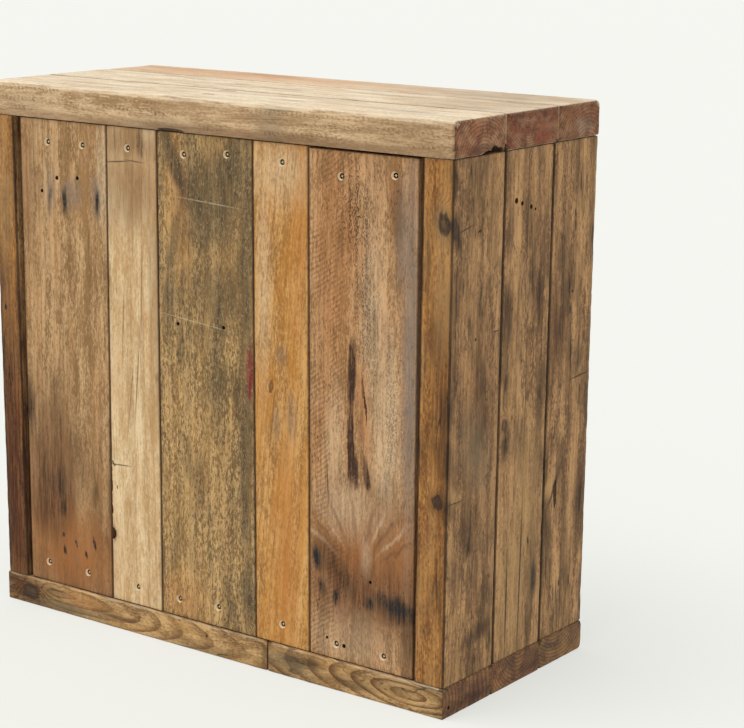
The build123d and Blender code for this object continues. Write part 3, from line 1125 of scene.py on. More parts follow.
# ------------------------------------------------------------------ screws
@dataclass
class ScrewSet:
    """One group of screws, rebuilt where the frame has them."""

    node: str
    size: ScrewSize
    spin_by_x: float = 977.0
    spin_by_z: float = 131.0

    def rows(self, nodes: dict) -> list[PointRow]:
        """Find each screw's head and aim in the node's mesh, and keep their length.

        Args:
            nodes: The frame's node objects.

        Returns:
            A row for each screw: the middle of its head, its aim, its reach and its spin.
        """
        work = bmesh.new()
        work.from_mesh(nodes[self.node].data)
        bmesh.ops.remove_doubles(work, verts=work.verts, dist=1e-6)
        left = set(work.verts)
        rows = []
        while left:
            heap = [left.pop()]
            island = []
            while heap:
                vert = heap.pop()
                island.append(vert.co.copy())
                for edge in vert.link_edges:
                    other = edge.other_vert(vert)
                    if other in left:
                        left.remove(other)
                        heap.append(other)
            low, high = box_of(island)
            middle = (low + high) / 2
            axis = max(range(3), key=lambda i: high[i] - low[i])
            head_high = sum(p[axis] for p in island) / len(island) > middle[axis]
            spot = middle.copy()
            spot[axis] = high[axis] if head_high else low[axis]
            aim = Vector((0.0, 0.0, 0.0))
            aim[axis] = -1.0 if head_high else 1.0
            length = high[axis] - low[axis]
            spin = spot.x * self.spin_by_x + spot.z * self.spin_by_z
            rows.append((spot, aim, (1.0, 1.0, 1.0), spin, length))
        work.free()
        rows.sort(key=lambda row: tuple(round(c, 5) for c in row[0]))
        self.length = rows[0][4]
        return [row[:4] for row in rows]

    def build(self, nodes: dict, tree: bpy.types.NodeTree, material: bpy.types.Material) -> bpy.types.Object:
        """Make the screws and put them in place of their node.

        Args:
            nodes: The frame's node objects.
            tree: The tree that makes a screw on each point.
            material: The screws' finish.

        Returns:
            The finished screws.
        """
        rows = self.rows(nodes)
        points = point_cloud("screw_points", rows)
        start = point_cloud("screw_start", [])
        values = {
            "Head Radius": self.size.head, "Head Height": self.size.head_height, "Shank Radius": self.size.shank,
            "Length": self.length - self.size.head_height, "Recess": self.size.recess,
            "Screw Points": points, "Material": material,
        }
        made = apply_tree(start, tree, values, f"{self.node}_detail")
        bpy.data.objects.remove(points)
        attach(made, BODY)
        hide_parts(self.node)
        LOG.info("%s: %d faces", made.name, len(made.data.polygons))
        return made


# ------------------------------------------------------------------ stock
BLEACHED = Timber(
    broad=Tone(paint("f6e8cc"), paint("d0b794")), edge=Tone(paint("e0c096"), paint("a07e56")),
    end=Tone(paint("a46c48"), paint("643c24")), late=paint("ae9068"), ring_strength=0.25, ring=4.2,
    blush=paint("dcb88e"), blushing=0.25, weather=paint("80694c"), weathering=0.22, weather_cut=0.62,
    flecks=0.2, checks=0.45, arris=0.75, grit=0.8,
)
WEATHERED = Timber(
    broad=Tone(paint("c89a66"), paint("664626")), edge=Tone(paint("c48c48"), paint("794a1e")),
    end=Tone(paint("9a6e50"), paint("6b452e")), late=paint("8a6238"), ring_strength=0.32, ring=3.6,
    blush=paint("ae8452"), blushing=0.4, weather=paint("40301e"), weathering=0.65, weather_cut=0.54,
    flecks=0.4, checks=0.7, arris=0.85, streak=0.9, band=1.0, blotch=(0.045, 0.045, 0.012),
)
FOOTING = Timber(
    broad=Tone(paint("b58f5e"), paint("70502f")), edge=Tone(paint("d4ac74"), paint("866238")),
    end=Tone(paint("8e6040"), paint("50301c")), late=paint("8a6a42"), ring_strength=0.75, ring=4.6,
    pith=(-30.0, 34.0), wobble=30.0, blush=paint("bd8c4a"), blushing=0.35, weather=paint("54452f"),
    weathering=0.5, weather_cut=0.54, flecks=0.35, checks=0.7, arris=0.7,
)
BOARD = Timber(
    broad=Tone(paint("cfa474"), paint("86603a")), edge=Tone(paint("b08a60"), paint("7a5a3c")),
    end=Tone(paint("a87c5c"), paint("6b4630")), late=paint("a47a4e"), ring_strength=0.32, ring=5.0,
    pith=(30.0, 70.0), blush=paint("bd8854"), blushing=0.35, weathering=0.2, weather_cut=0.6,
    flecks=0.15, checks=0.35, arris=0.6,
)
BROWN = replace(BOARD, seed=1.3, band=1.0, broad=Tone(paint("d2aa7a"), paint("8a683e")), blush=paint("bc8a56"))
CREAM = replace(
    BOARD, seed=2.4, broad=Tone(paint("ecd2a6"), paint("c09a68")), blush=paint("cb9a64"), late=paint("b48a58"),
    ring=7.0, pith=(-20.0, 46.0), weathering=0.12, grit=0.7, band=0.5,
)
GREY = replace(
    BOARD, seed=3.1, broad=Tone(paint("d2aa70"), paint("755a34")), late=paint("947848"), weather=paint("34332a"),
    weathering=0.5, weather_cut=0.58, blush=paint("be9050"), streak=1.1, scuff=0.6, flecks=0.4,
    blotch=(0.05, 0.05, 0.014), grit=1.7,
)
HONEY = replace(
    BOARD, seed=4.7, broad=Tone(paint("d9a765"), paint("9a6a30")), late=paint("b4803c"), ring=6.0,
    pith=(60.0, 50.0), blush=paint("cc8832"), blushing=0.5, weathering=0.05, flecks=0.1, checks=0.2,
    streak=0.8, lean=-0.08,
)
MARKED = replace(
    BOARD, seed=5.6, broad=Tone(paint("cfa070"), paint("8a643a")), late=paint("a07c50"), blush=paint("b67e4c"),
    blushing=0.4, flecks=0.6, saw=Saw.SLANTED, saw_depth=0.28,
)
BATTEN = Timber(
    broad=Tone(paint("e0c094"), paint("b48e60")), edge=Tone(paint("e0c094"), paint("b48e60")),
    end=Tone(paint("b88c64"), paint("8a6040")), late=paint("b88a58"), ring_strength=0.5, ring=4.5,
    blush=paint("d8a868"), blushing=0.3, weathering=0.15, flecks=0.1, checks=0.2, arris=0.3,
)


# ------------------------------------------------------------------ sub-assemblies
@dataclass
class Workshop:
    """What every sub-assembly needs while it is built."""

    nodes: dict[str, bpy.types.Object]
    timber_tree: bpy.types.NodeTree
    screw_mouths: list[PointRow]


@dataclass
class Assembly:
    """A group of planks that are built one after the other."""

    def planks(self) -> list[Plank]:
        """List the group's planks."""
        raise NotImplementedError

    def build(self, shop: Workshop) -> list[bpy.types.Object]:
        """Build and dress every plank of the group.

        Args:
            shop: The nodes, the tree and the screw places.

        Returns:
            The finished pieces.
        """
        return [plank.build(shop.nodes, shop.timber_tree, shop.screw_mouths) for plank in self.planks()]


@dataclass
class TopSlab(Assembly):
    """Three bleached planks side by side."""

    outer_ease: float = 4.5
    rear_ease: float = 6.0
    inner_ease: float = 1.8
    end_ease: float = 3.4
    wear: float = 2.8
    inner_wear: float = 1.6

    def planks(self) -> list[Plank]:
        """List the three planks, from the front."""
        small, large = self.inner_ease, self.outer_ease
        facing = (1.0, -1.0, 1.0)
        lie = Lie.LEVEL_LENGTHWISE
        front = Plank(
            "top_plank_front", "bleached_plank", lie,
            replace(BLEACHED, seed=11.0, saw=Saw.TICKS, pith=(4.0, -30.0)), facing,
            eases=(small, small, small, large), corner_highlight_shade=(-0.5, -1.0, -0.8, 1.0), end_highlight_shade=0.5, wear=self.wear,
            end_ease=self.end_ease,
            marks=spots(Face.EDGE, {
                Kind.DRY: [(650, 98, 22, 20, 0.45), (640, -60, 8, 50, 0.35), (650, -290, 12, 40, 0.25)],
                Kind.SHADE: [(637, 60, 6, 330, 0.7), (648, 300, 26, 70, 0.3)],
            }) + spots(Face.BROAD, {
                Kind.KNOT: [(-108, -30, 3, 9, 0.5), (-65, -35, 3.5, 12, 0.6)],
                Kind.CRACK: [(-104, 200, 0.7, 60, 0.6), (-82, 262, 0.8, 40, 0.7)],
                Kind.GREY: [(-108, 268, 4, 34, 0.8)],
            }) + spots(Face.END, {
                Kind.SMOKE: [(-100, 640, 26, 5, 0.5)],
            }),
            chips=[
                Chip((347.0, -62.0, 632.0), (16.0, 8.0, 8.0)),
                Chip((348.0, -72.0, 632.0), (15.0, 9.0, 10.5)),
                Chip((348.5, -84.0, 631.5), (12.0, 12.0, 6.0)),
                Chip((-52.0, -151.0, 634.0), (22.0, 5.0, 3.0)),
            ],
        )
        middle = Plank(
            "top_plank_middle", "bleached_plank", lie,
            replace(BLEACHED, seed=12.0, pith=(-8.0, 26.0), end=Tone(paint("8c5130"), paint("582810")), ring=3.2),
            facing, eases=(small,) * 4, corner_highlight_shade=(-1.0, -1.0, -0.8, -0.8), end_highlight_shade=0.4, wear=self.inner_wear,
            end_ease=self.end_ease,
            marks=spots(Face.BROAD, {
                Kind.CRACK: [(-20, 60, 0.8, 70, 0.6), (18, 170, 0.8, 90, 0.6)],
                Kind.GREY: [(22, 150, 5, 40, 0.5), (47, 300, 5, 30, 0.7)],
                Kind.SHADE: [(0, 290, 70, 80, 0.35)],
            }) + spots(Face.END, {
                Kind.RUST: [(26, 645, 20, 16, 0.5)],
            }),
            chips=[Chip((349.0, -50.5, 634.0), (9.0, 4.5, 7.0))],
        )
        rear = Plank(
            "top_plank_rear", "bleached_plank", lie,
            replace(BLEACHED, seed=13.0, pith=(20.0, -44.0), end=Tone(paint("966039"), paint("653e21"))), facing,
            eases=(small, small, self.rear_ease, small), corner_highlight_shade=(-1.0, -0.5, 1.0, -0.8), end_highlight_shade=0.4, wear=self.wear,
            end_ease=self.end_ease,
            marks=spots(Face.BROAD, {
                Kind.WARM: [(110, -170, 70, 260, 0.75)],
                Kind.GREY: [(85, 250, 5, 60, 0.5)],
                Kind.SHADE: [(105, 230, 60, 130, 0.45)],
            }) + spots(Face.END, {
                Kind.GREY: [(110, 648, 18, 9, 0.4)],
            }),
        )
        return [front, middle, rear]


@dataclass
class PlankBase(Assembly):
    """Three planks on the floor, the front one in two lengths."""

    ease: float = 1.8
    rear_ease: float = 5.0
    wear: float = 2.0

    def planks(self) -> list[Plank]:
        """List the base's planks."""
        facing = (1.0, -1.0, 1.0)
        lie = Lie.LEVEL_LENGTHWISE
        eases = (self.ease,) * 4
        left = Plank(
            "base_plank_front_left", "base_plank", lie,
            replace(FOOTING, seed=21.0, ring=7.0, lean=0.14, pith=(-71.0, 3.0)), facing,
            eases=eases, corner_highlight_shade=(-0.6, -1.0, -1.0, 0.6), wear=self.wear,
            marks=spots(Face.EDGE, {
                Kind.KNOT: [(17, -302, 10, 14)],
                Kind.SHADE: [(18, -316, 18, 44, 1.3)],
                Kind.DRY: [(9, -235, 5, 60, 0.8)],
                Kind.WARM: [(22, -205, 9, 30, 0.5)],
                Kind.SMOKE: [(14, -150, 3, 34, 0.6), (18, 88, 16, 4, 0.5)],
                Kind.FLECK: [(22, 0, 1.6, 1.8)],
            }),
        )
        right = Plank(
            "base_plank_front_right", "base_plank", lie,
            replace(FOOTING, seed=22.0, ring=7.0, lean=0.22, pith=(-31.0, 2.0), ring_strength=0.9), facing,
            eases=eases, corner_highlight_shade=(-0.6, -1.0, -1.0, 0.6), wear=self.wear,
            marks=spots(Face.EDGE, {
                Kind.DRY: [(20, 130, 10, 34, 0.8)],
                Kind.SMOKE: [(24, 150, 6, 30, 0.7), (12, 215, 5, 40, 0.6)],
            }) + spots(Face.END, {
                Kind.SHADE: [(-105, 12, 40, 10, 0.7)],
            }),
            nails=[Nail((-138.0, 12.0), radius=2.6, depth=10.0, face=Face.END)],
        )
        middle = Plank(
            "base_plank_middle", "base_plank", lie, replace(FOOTING, seed=23.0, pith=(10.0, 26.0)), facing, eases=eases,
            marks=spots(Face.END, {
                Kind.SMOKE: [(30, 14, 24, 6, 0.5)],
            }),
        )
        rear = Plank(
            "base_plank_rear", "base_plank", lie,
            replace(FOOTING, seed=24.0, pith=(-10.0, 60.0), end=Tone(paint("96704a"), paint("5c3d24"))), facing,
            eases=(self.ease, self.rear_ease, self.rear_ease, self.ease), wear=self.wear, end_ease=2.4,
        )
        return [left, right, middle, rear]


class Hand(Enum):
    """Left or right side of the cabinet, with the direction that its outer face looks."""

    LEFT = -1.0
    RIGHT = 1.0


@dataclass
class SideWall(Assembly):
    """Three upright planks that carry the top."""

    hand: Hand
    ease: float = 1.8
    wear: float = 2.2

    def planks(self) -> list[Plank]:
        """List the three planks, from the front."""
        side = self.hand.name.lower()
        facing = (self.hand.value, -1.0, 1.0)
        seed = 30.0 + 5.0 * self.hand.value
        marks, nails, chips = (self._left_marks(), [], []), [[], [], []], [[], [], []]
        if self.hand is Hand.RIGHT:
            marks = self._right_marks()
            nails[1] = [
                Nail((-25.5, 575.7), 3.4), Nail((-13.6, 571.4), 2.6), Nail((5.5, 565.6), 2.8), Nail((14.5, 562.1), 1.8),
            ]
            chips[2] = [Chip((349.5, 77.0, 214.0), (4.5, 4.0, 20.0))]
        return [
            Plank(
                f"{side}_side_plank_{name}", "weathered_plank", Lie.UPRIGHT_SIDE,
                replace(WEATHERED, seed=seed + k, pith=(18.0 - 16.0 * k, -50.0 * self.hand.value)), facing,
                eases=(self.ease,) * 4, end_ease=0.8, wear=self.wear, marks=marks[k], nails=nails[k], chips=chips[k],
            )
            for k, name in enumerate(("front", "middle", "rear"))
        ]

    def _left_marks(self) -> list[Mark]:
        """Marks of the left side's front plank."""
        return spots(Face.EDGE, {
            Kind.SHADE: [(-325, 180, 40, 190, 1.2, 0, 40)],
            Kind.FLECK: [(-333, 390, 2, 4)],
            Kind.TAN: [(-333, 540, 12, 80, 0.6)],
        })

    def _right_marks(self) -> tuple[list[Mark], list[Mark], list[Mark]]:
        """Marks of the right side's front, middle and rear planks."""
        front = spots(Face.EDGE, {
            Kind.KNOT: [(339, 562, 8, 11.5, 1, 14, 13), (335, 252.5, 5.6, 7.4)],
            Kind.DRY: [(338, 562, 13, 20, 0.7, 14, 16)],
            Kind.SHADE: [(335, 252.5, 11, 14, 0.8), (338, 390, 16, 110, 0.7), (334, 620, 12, 30, 0.2)],
            Kind.TAN: [(338, 500, 12, 60, 0.6)],
        }) + spots(Face.BROAD, {
            Kind.SMOKE: [
                (-142, 552, 8, 22, 1, -14), (-146, 608, 3, 22, 0.9), (-141, 490, 8, 40, 0.4), (-114, 448, 3, 9, 0.7),
                (-147, 246, 7, 18, 0.6), (-85, 86, 28, 9, 0.6, -16),
            ],
            Kind.KNOT: [(-144, 557, 5, 11, 0.7, -14)],
            Kind.SHADE: [(-100, 330, 40, 110, 0.4)],
            Kind.CRACK: [
                (-124, 556, 14, 1, 0.8, -12), (-61, 433.5, 6, 0.9, 0.9), (-133, 251, 13, 1, 0.8),
                (-68, 272, 14, 0.9, 0.6, -32), (-90, 185, 4, 1, 0.8, -20), (-96, 130, 0.8, 70, 0.6, -1),
            ],
            Kind.FLECK: [(-97, 549.5, 2.4, 2), (-100, 429, 2, 2)],
            Kind.TAN: [(-135, 257, 12, 9, 0.9), (-141, 200, 6, 24, 0.9)],
            Kind.DRY: [(-96, 300, 24, 44, 0.7, -24)],
        })
        middle = spots(Face.BROAD, {
            Kind.SMOKE: [
                (-36, 540, 7, 30, 0.6, 8), (-36, 450, 8, 34, 0.7), (-33, 300, 8, 20, 0.8, 8), (10, 345, 4, 5, 0.7),
                (34, 345, 4, 9, 0.6, -20),
            ],
            Kind.CRACK: [
                (-1, 560, 0.9, 120, 0.7), (5, 350, 0.9, 80, 0.6), (4, 130, 1.5, 90, 1, 1), (-24, 104, 1.6, 60),
            ],
            Kind.KNOT: [(-37, 320, 5, 7, 0.7)],
            Kind.SHADE: [(24, 470, 10, 70, 0.4)],
            Kind.FLECK: [(19, 170, 2, 5)],
            Kind.GRIME: [(34, 118, 6, 22, 0.9)],
            Kind.TAN: [(16, 215, 24, 90, 0.8), (-14, 110, 30, 80, 0.9)],
        })
        rear = spots(Face.BROAD, {
            Kind.CRACK: [
                (106, 612, 0.7, 40, 0.7, 1), (101, 390, 0.9, 46, 0.9, -2), (123, 350, 20, 1.1, 0.9, -4),
                (101, 318, 0.8, 24, 0.8), (86, 90, 1.2, 16, 0.9), (104, 104, 1, 12, 0.8),
            ],
            Kind.FLECK: [
                (112.5, 581, 1.8, 11), (103, 547, 1.6, 5), (102, 455, 2, 2.4), (98, 435, 2.2, 4), (92, 100, 1.8, 5),
                (114, 96, 2.4, 8),
            ],
            Kind.SHADE: [(70, 420, 12, 60, 0.8)],
            Kind.TAN: [(64, 224, 9, 16, 1.2, 34)],
            Kind.SMOKE: [(74, 222, 3, 26, 0.9, 28), (58, 190, 6, 24, 0.5, 8), (130, 220, 6, 40, 0.5)],
        })
        return front, middle, rear


@dataclass
class BoardFront(Assembly):
    """Five thin boards between the sides, screwed to the battens."""

    ease: float = 1.2
    end_ease: float = 1.0
    wear: float = 1.3

    def board(self, number: int, slot: str, timber: Timber, marks: list[Mark], **more: object) -> Plank:
        """One board.

        Args:
            number: Its place, from the left.
            slot: Name of its finish, which the plank keeps and nothing reads.
            timber: Its wood.
            marks: What its face carries.
            **more: Nail holes and chips.

        Returns:
            The board.
        """
        return Plank(
            f"front_board_{number}", slot, Lie.UPRIGHT_FRONT, timber, (0.0, -1.0, 1.0),
            marks=marks, eases=(self.ease,) * 4, end_ease=self.end_ease, wear=self.wear, **more,
        )

    def planks(self) -> list[Plank]:
        """List the five boards, from the left."""
        return [self._brown(), self._cream(), self._grey(), self._honey(), self._marked()]

    def _brown(self) -> Plank:
        """Brown board with iron streaks below its old nail holes."""
        marks = spots(Face.BROAD, {
            Kind.IRON: [
                (-253.2, 535.6, 3.2, 14, 0.8, 5), (-228.6, 532.9, 2.8, 14, 1.1), (-173.1, 536.4, 3.6, 14, 1.2),
            ],
            Kind.BLUE: [(-252, 545, 8, 26, 0.6), (-218, 543, 16, 18, 0.6), (-175, 545, 8, 24, 0.6)],
            Kind.SMOKE: [
                (-298, 268, 8, 26, 0.8), (-249, 170, 12, 18, 0.6), (-243, 140, 6, 12, 0.8), (-262, 120, 26, 26, 0.35),
                (-185, 165, 5, 14, 0.5),
            ],
            Kind.SHADE: [(-262, 150, 50, 130), (-230, 75, 90, 64, 0.95), (-290, 560, 14, 70, 0.45)],
            Kind.WARM: [(-225, 85, 70, 46, 0.75)],
            Kind.FLECK: [
                (-240, 84, 2.2, 5, 1, -10), (-221, 96, 1.8, 5, 1, -14), (-205, 86, 2, 5, 1, -8),
                (-243, 104, 1.8, 4, 1, -12), (-190, 105, 1.6, 10, 1, -12),
            ],
            Kind.PALE: [(-166, 570, 7, 60, 0.6)],
        })
        nails = [Nail((-241.0, 561.5), 2.7), Nail((-206.4, 564.1), 2.5), Nail((-267.0, 543.4), 2.4)]
        return self.board(1, "brown_board", BROWN, marks, nails=nails)

    def _cream(self) -> Plank:
        """Cream board with a ragged, notched edge."""
        marks = spots(Face.BROAD, {
            Kind.CRACK: [
                (-140, 590, 20, 0.9, 0.8, -6), (-112, 592.5, 14, 0.8, 0.7, 3), (-134, 395, 0.9, 42, 0.6, 3),
                (-112, 330, 0.9, 55, 0.7, 5), (-104, 420, 0.9, 60, 0.5, 2), (-124, 300, 0.8, 40, 0.5, 7),
                (-143, 213.5, 17, 0.9, 0.8, -3),
            ],
            Kind.SHADE: [(-118, 614, 52, 22, 0.7), (-122, 560, 48, 44, 0.65), (-82, 470, 8, 150, 0.4)],
            Kind.SMOKE: [(-103, 616, 5, 16, 0.5), (-155, 122, 3.5, 9, 0.9)],
            Kind.FLECK: [(-154, 213.5, 3.5, 1.6), (-148, 186, 1.6, 1.6)],
        })
        chips = [
            Chip((-159.5, -149.0, 123.0), (7.5, 14.0, 8.5)),
            Chip((-160.5, -149.0, 154.0), (4.5, 9.0, 9.0)),
            Chip((-160.0, -149.0, 185.0), (4.0, 8.0, 12.0)),
            Chip((-160.5, -149.0, 206.0), (4.0, 7.0, 6.0)),
        ]
        return self.board(2, "cream_board", CREAM, marks, chips=chips)

    def _grey(self) -> Plank:
        """Golden board under grey-green weathering."""
        marks = spots(Face.BROAD, {
            Kind.GRIME: [
                (-46, 592, 11, 52, 0.8, -26), (6, 560, 44, 56, 0.7), (44, 590, 22, 44, 0.6),
                (-52, 500, 7, 50, 0.6, 14), (60, 480, 12, 150, 0.6), (10, 448, 44, 34, 0.45), (-60, 430, 10, 44, 0.5),
                (10, 330, 12, 44, 0.4), (58, 240, 9, 100, 0.6), (62, 90, 8, 50, 0.6),
            ],
            Kind.SMOKE: [(44, 330, 5, 30, 0.5), (-15, 220, 10, 30, 0.4)],
            Kind.WARM: [(-42, 560, 14, 70, 0.5, -6), (-40, 60, 30, 30, 0.5)],
            Kind.SCRATCH: [(4, 554, 44, 0.7, 1, 3), (-18, 410, 50, 0.7, 0.9, 5)],
            Kind.CRIMSON: [(65.5, 359, 5, 32)],
        })
        nails = [Nail((-45.3, 404.3), 2.4), Nail((25.6, 408.8), 2.4)]
        return self.board(3, "grey_board", GREY, marks, nails=nails)

    def _honey(self) -> Plank:
        """Smooth honey board."""
        marks = spots(Face.BROAD, {
            Kind.KNOT: [(96.4, 348.4, 3.5, 6, 0.7)],
            Kind.BLUE: [(105.2, 306.9, 5, 18, 0.4), (112, 388, 7, 10, 0.4), (127.5, 316.4, 7, 26, 0.4)],
            Kind.PALE: [(86, 470, 10, 120, 0.5), (112, 600, 44, 34, 0.6)],
            Kind.WARM: [(120, 160, 16, 130, 0.6), (138, 500, 10, 120, 0.4)],
            Kind.FLECK: [(84, 455, 1.4, 2, 0.6)],
        })
        return self.board(4, "honey_board", HONEY, marks)

    def _marked(self) -> Plank:
        """Sawn board with a bark pocket and smoky knots."""
        marks = spots(Face.BROAD, {
            Kind.BARK: [
                (213.8, 378, 5.5, 42, 1, 0.5), (213, 300, 5, 52, 1, -0.5), (220, 268, 5, 20, 1, -4),
                (232, 354.7, 1.3, 30, 1, -6.2), (235.7, 267.8, 4, 20, 0.9, -8),
            ],
            Kind.WARM: [
                (232, 345, 7, 50, 0.9, -6), (280, 190, 22, 34, 0.5), (190, 500, 26, 130, 0.35),
                (215, 190, 64, 40, 0.6),
            ],
            Kind.PALE: [
                (210, 222, 38, 30, 0.6), (244, 440, 16, 130, 0.45), (262, 330, 20, 100, 0.6), (190, 300, 12, 60, 0.4),
                (236, 175, 7, 24, 0.5), (215, 62, 60, 30, 0.35),
            ],
            Kind.SPECKS: [
                (222, 560, 30, 60, 0.9, -6), (236, 440, 16, 110, 1, -4), (268, 340, 20, 90, 0.8),
                (205, 200, 40, 60, 0.5),
            ],
            Kind.BLUE: [(294, 420, 9, 190, 0.95), (286, 540, 12, 60, 0.7)],
            Kind.SMOKE: [
                (274, 575, 9, 40, 0.4), (182, 160, 16, 24, 0.55, -30), (205, 135, 12, 22, 0.5, -24),
                (283, 112, 24, 16, 0.8, 13), (296, 80, 10, 46, 0.6),
            ],
            Kind.SHADE: [(232, 150, 80, 70, 0.95), (262, 215, 36, 34, 0.5)],
            Kind.IRON: [
                (164.6, 156.4, 6, 12, 1.1, -10), (172.1, 121.5, 5, 9, 0.8), (192.7, 112.4, 4, 9, 0.95),
                (241.6, 115.6, 7, 8, 0.95), (280, 118, 26, 9, 1.1, 13),
            ],
            Kind.CRACK: [(180, 255, 0.9, 24, 0.8, -3)],
        })
        fan_x, fan_z, fan_reach, fan_step = 226.0, 148.0, 66.0, 21.0
        for kind, first, strength in ((Kind.PALE, -60.0, 0.55), (Kind.SMOKE, -49.0, 0.35)):
            for step in range(6):
                lean = first + fan_step * step
                away = math.radians(lean)
                place = (fan_x + fan_reach * math.sin(away), fan_z + fan_reach * math.cos(away))
                marks.append(Mark(kind, Face.BROAD, place, (2.4, 25.0), strength, lean))
        nails = [Nail((180.5, 61.4), 1.8), Nail((205.3, 56.1), 2.6), Nail((242.4, 141.0), 2.0)]
        return self.board(5, "marked_board", MARKED, marks, nails=nails)


@dataclass
class InnerFrame(Assembly):
    """Battens, cleats and ties that hold the boards and planks together."""

    ease: float = 1.0
    end_ease: float = 0.6
    wear: float = 0.5
    waviness: float = 0.15
    lengthwise: tuple[str, ...] = ("front_top_batten", "front_base_batten")
    crosswise: tuple[str, ...] = (
        "left_top_cleat", "right_top_cleat", "left_base_cleat", "right_base_cleat", "top_tie", "base_tie",
    )

    def planks(self) -> list[Plank]:
        """List the battens, cleats and ties."""
        return [
            Plank(
                name, "batten", Lie.LEVEL_LENGTHWISE if name in self.lengthwise else Lie.LEVEL_CROSSWISE,
                replace(BATTEN, seed=50.0 + k), (1.0, 1.0, 1.0),
                eases=(self.ease,) * 4, end_ease=self.end_ease, wear=self.wear, waviness=self.waviness,
            )
            for k, name in enumerate(self.lengthwise + self.crosswise)
        ]


@dataclass
class Fastenings:
    """Every wood screw of the cabinet, in the frame's groups."""

    size: ScrewSize = field(default_factory=ScrewSize)
    groups: tuple[str, ...] = (
        "board_head_screws", "board_foot_screws", "front_top_batten_screws", "front_base_batten_screws",
        "top_cleat_screws", "base_cleat_screws", "side_head_screws", "side_foot_screws",
        "top_tie_screws", "base_tie_screws",
    )

    def mouths(self, nodes: dict[str, bpy.types.Object]) -> list[PointRow]:
        """Points a little outside each screw's head, aimed into the wood.

        Args:
            nodes: The frame's node objects.

        Returns:
            The points that the countersinks are cut from.
        """
        rows = []
        for group in self.groups:
            for spot, aim, reach, spin in ScrewSet(group, self.size).rows(nodes):
                rows.append((spot - aim * (self.size.sink + self.size.clear), aim, reach, spin))
        return rows

    def build(self, nodes: dict[str, bpy.types.Object]) -> list[bpy.types.Object]:
        """Make every group of screws.

        Args:
            nodes: The frame's node objects.

        Returns:
            The finished groups.
        """
        tree = screw_tree(self.size)
        steel = SteelShader("dull_zinc").build()
        return [ScrewSet(group, self.size).build(nodes, tree, steel) for group in self.groups]


class SteelShader:
    """Dull zinc with dust and a little rust."""

    dark: Triple = paint("38342f")
    light: Triple = paint("5e5a52")
    rust: Triple = paint("4a3020")

    def __init__(self, name: str) -> None:
        """Start an empty material."""
        self.material = empty_material(name)
        self.graph = Graph(self.material.node_tree)

    def build(self) -> bpy.types.Material:
        """Make the node tree and return the material."""
        g = self.graph
        found = g.node("ShaderNodeTexCoord", {}, {}, "Object")
        place = g.stretch(found, (1 / MM, 1 / MM, 1 / MM))
        coarse = g.noise(g.stretch(place, (0.35, 0.35, 0.35)), 4.0, 0.6)
        fine = g.noise(g.stretch(place, (2.2, 2.2, 2.2)), 3.0, 0.6)
        rust = (coarse + (fine - 0.5) * 0.6).step(0.5, 0.66)
        colour = g.blend(rust * 0.8, g.blend(fine, self.dark, self.light), self.rust)
        bump = g.node("ShaderNodeBump", {}, {"Strength": 0.4, "Distance": 0.0001, "Height": fine}, "Normal")
        sockets = {
            "Base Color": colour, "Roughness": rust * 0.4 + 0.38, "Metallic": 1.0 - rust * 0.8, "Normal": bump,
        }
        g.finish(g.node("ShaderNodeBsdfPrincipled", {}, sockets))
        return self.material


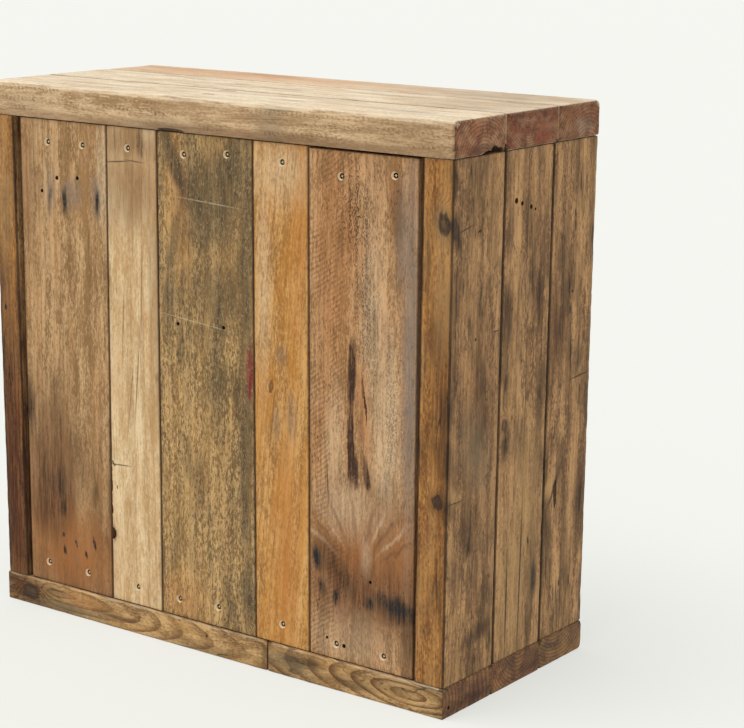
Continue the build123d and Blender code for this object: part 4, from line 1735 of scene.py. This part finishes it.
# ------------------------------------------------------------------ studio
@dataclass
class Studio:
    """Pale floor, soft light and the camera, in metres and degrees; lens and sensor are in mm."""

    camera_place: Triple = (1.6336, -2.0312, 0.9261)
    yaw: float = 36.45
    pitch: float = 12.75
    roll: float = 0.53
    lens: float = 104.4
    sensor: float = 36.0
    sight: float = 500.0
    floor_reach: float = 120.0
    floor_paint: Triple = (0.885, 0.894, 0.852)
    floor_shade: float = 0.34
    floor_glow: float = 0.645
    sun_power: float = 1.35
    sun_spread: float = 40.0
    sun_from: Triple = (-0.3, -0.39, 1.2)
    sun_tint: Triple = (1.0, 0.985, 0.96)
    sky: float = 0.74
    haze: float = 0.905
    haze_warmth: float = 0.975
    haze_ends: tuple[float, float] = (0.02, 0.35)

    def build(self) -> None:
        """Set up the floor, the lights and the camera."""
        self._floor()
        self._lights()
        self._camera()
        bpy.context.scene.view_settings.view_transform = "Standard"

    def _floor(self) -> None:
        """Lay the floor."""
        reach = self.floor_reach
        mesh = bpy.data.meshes.new("studio_floor")
        corners = [(-reach, -reach, 0.0), (reach, -reach, 0.0), (reach, reach, 0.0), (-reach, reach, 0.0)]
        mesh.from_pydata(corners, [], [(0, 1, 2, 3)])
        material = empty_material("studio_floor")
        g = Graph(material.node_tree)
        pale = (*self.floor_paint, 1.0)
        lit = g.node("ShaderNodeEmission", {}, {"Color": pale, "Strength": self.floor_glow})
        shade = (*(c * self.floor_shade for c in self.floor_paint), 1.0)
        matt = g.node("ShaderNodeBsdfDiffuse", {}, {"Color": shade})
        g.finish(g.node("ShaderNodeAddShader", {}, {0: matt, 1: lit}))
        mesh.materials.append(material)
        put("studio_floor", mesh)

    def _lights(self) -> None:
        """Hang a soft sun and light the room evenly."""
        data = bpy.data.lights.new("soft_sun", "SUN")
        data.energy = self.sun_power
        data.angle = math.radians(self.sun_spread)
        data.color = self.sun_tint
        put("soft_sun", data).rotation_euler = Vector(self.sun_from).to_track_quat("Z", "Y").to_euler()
        world = bpy.data.worlds.new("room")
        world.use_nodes = True
        world.node_tree.nodes.clear()
        g = Graph(world.node_tree)
        toward = g.node("ShaderNodeTexCoord", {}, {}, "Generated")
        height = g.node("ShaderNodeSeparateXYZ", {}, {0: toward}, 2)
        low = (self.haze, self.haze, self.haze * self.haze_warmth)
        colour = g.blend(height.step(*self.haze_ends), low, (self.sky,) * 3)
        back = g.node("ShaderNodeBackground", {}, {"Color": colour, "Strength": 1.0})
        output = g.tree.nodes.new("ShaderNodeOutputWorld")
        g.tree.links.new(back.socket, output.inputs["Surface"])
        bpy.context.scene.world = world

    def _camera(self) -> None:
        """Set the camera where the front, the right side and the top all show."""
        yaw, pitch, roll = (math.radians(angle) for angle in (self.yaw, self.pitch, self.roll))
        ahead = Vector((-math.sin(yaw) * math.cos(pitch), math.cos(yaw) * math.cos(pitch), -math.sin(pitch)))
        level = Vector((math.cos(yaw), math.sin(yaw), 0.0))
        above = level.cross(ahead)
        right = level * math.cos(roll) + above * math.sin(roll)
        up = above * math.cos(roll) - level * math.sin(roll)
        data = bpy.data.cameras.new("camera")
        data.lens = self.lens
        data.sensor_width = self.sensor
        data.clip_end = self.sight
        camera = put("camera", data)
        turn = Matrix((right, up, -ahead)).transposed().to_4x4()
        camera.matrix_world = Matrix.Translation(self.camera_place) @ turn
        bpy.context.scene.camera = camera


def main() -> None:
    """Load the frame, build every sub-assembly round it and set up the studio."""
    logging.basicConfig(level=logging.INFO, format="%(name)s: %(message)s")
    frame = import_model()
    nodes = frame["nodes"]
    fastenings = Fastenings()
    shop = Workshop(nodes, worn_timber_tree(fastenings.size), fastenings.mouths(nodes))
    groups = (TopSlab(), PlankBase(), SideWall(Hand.LEFT), SideWall(Hand.RIGHT), BoardFront(), InnerFrame())
    for group in groups:
        pieces = group.build(shop)
        LOG.info("%s: %d pieces", type(group).__name__, len(pieces))
    fastenings.build(nodes)
    Studio().build()


if __name__ == "__main__":
    main()
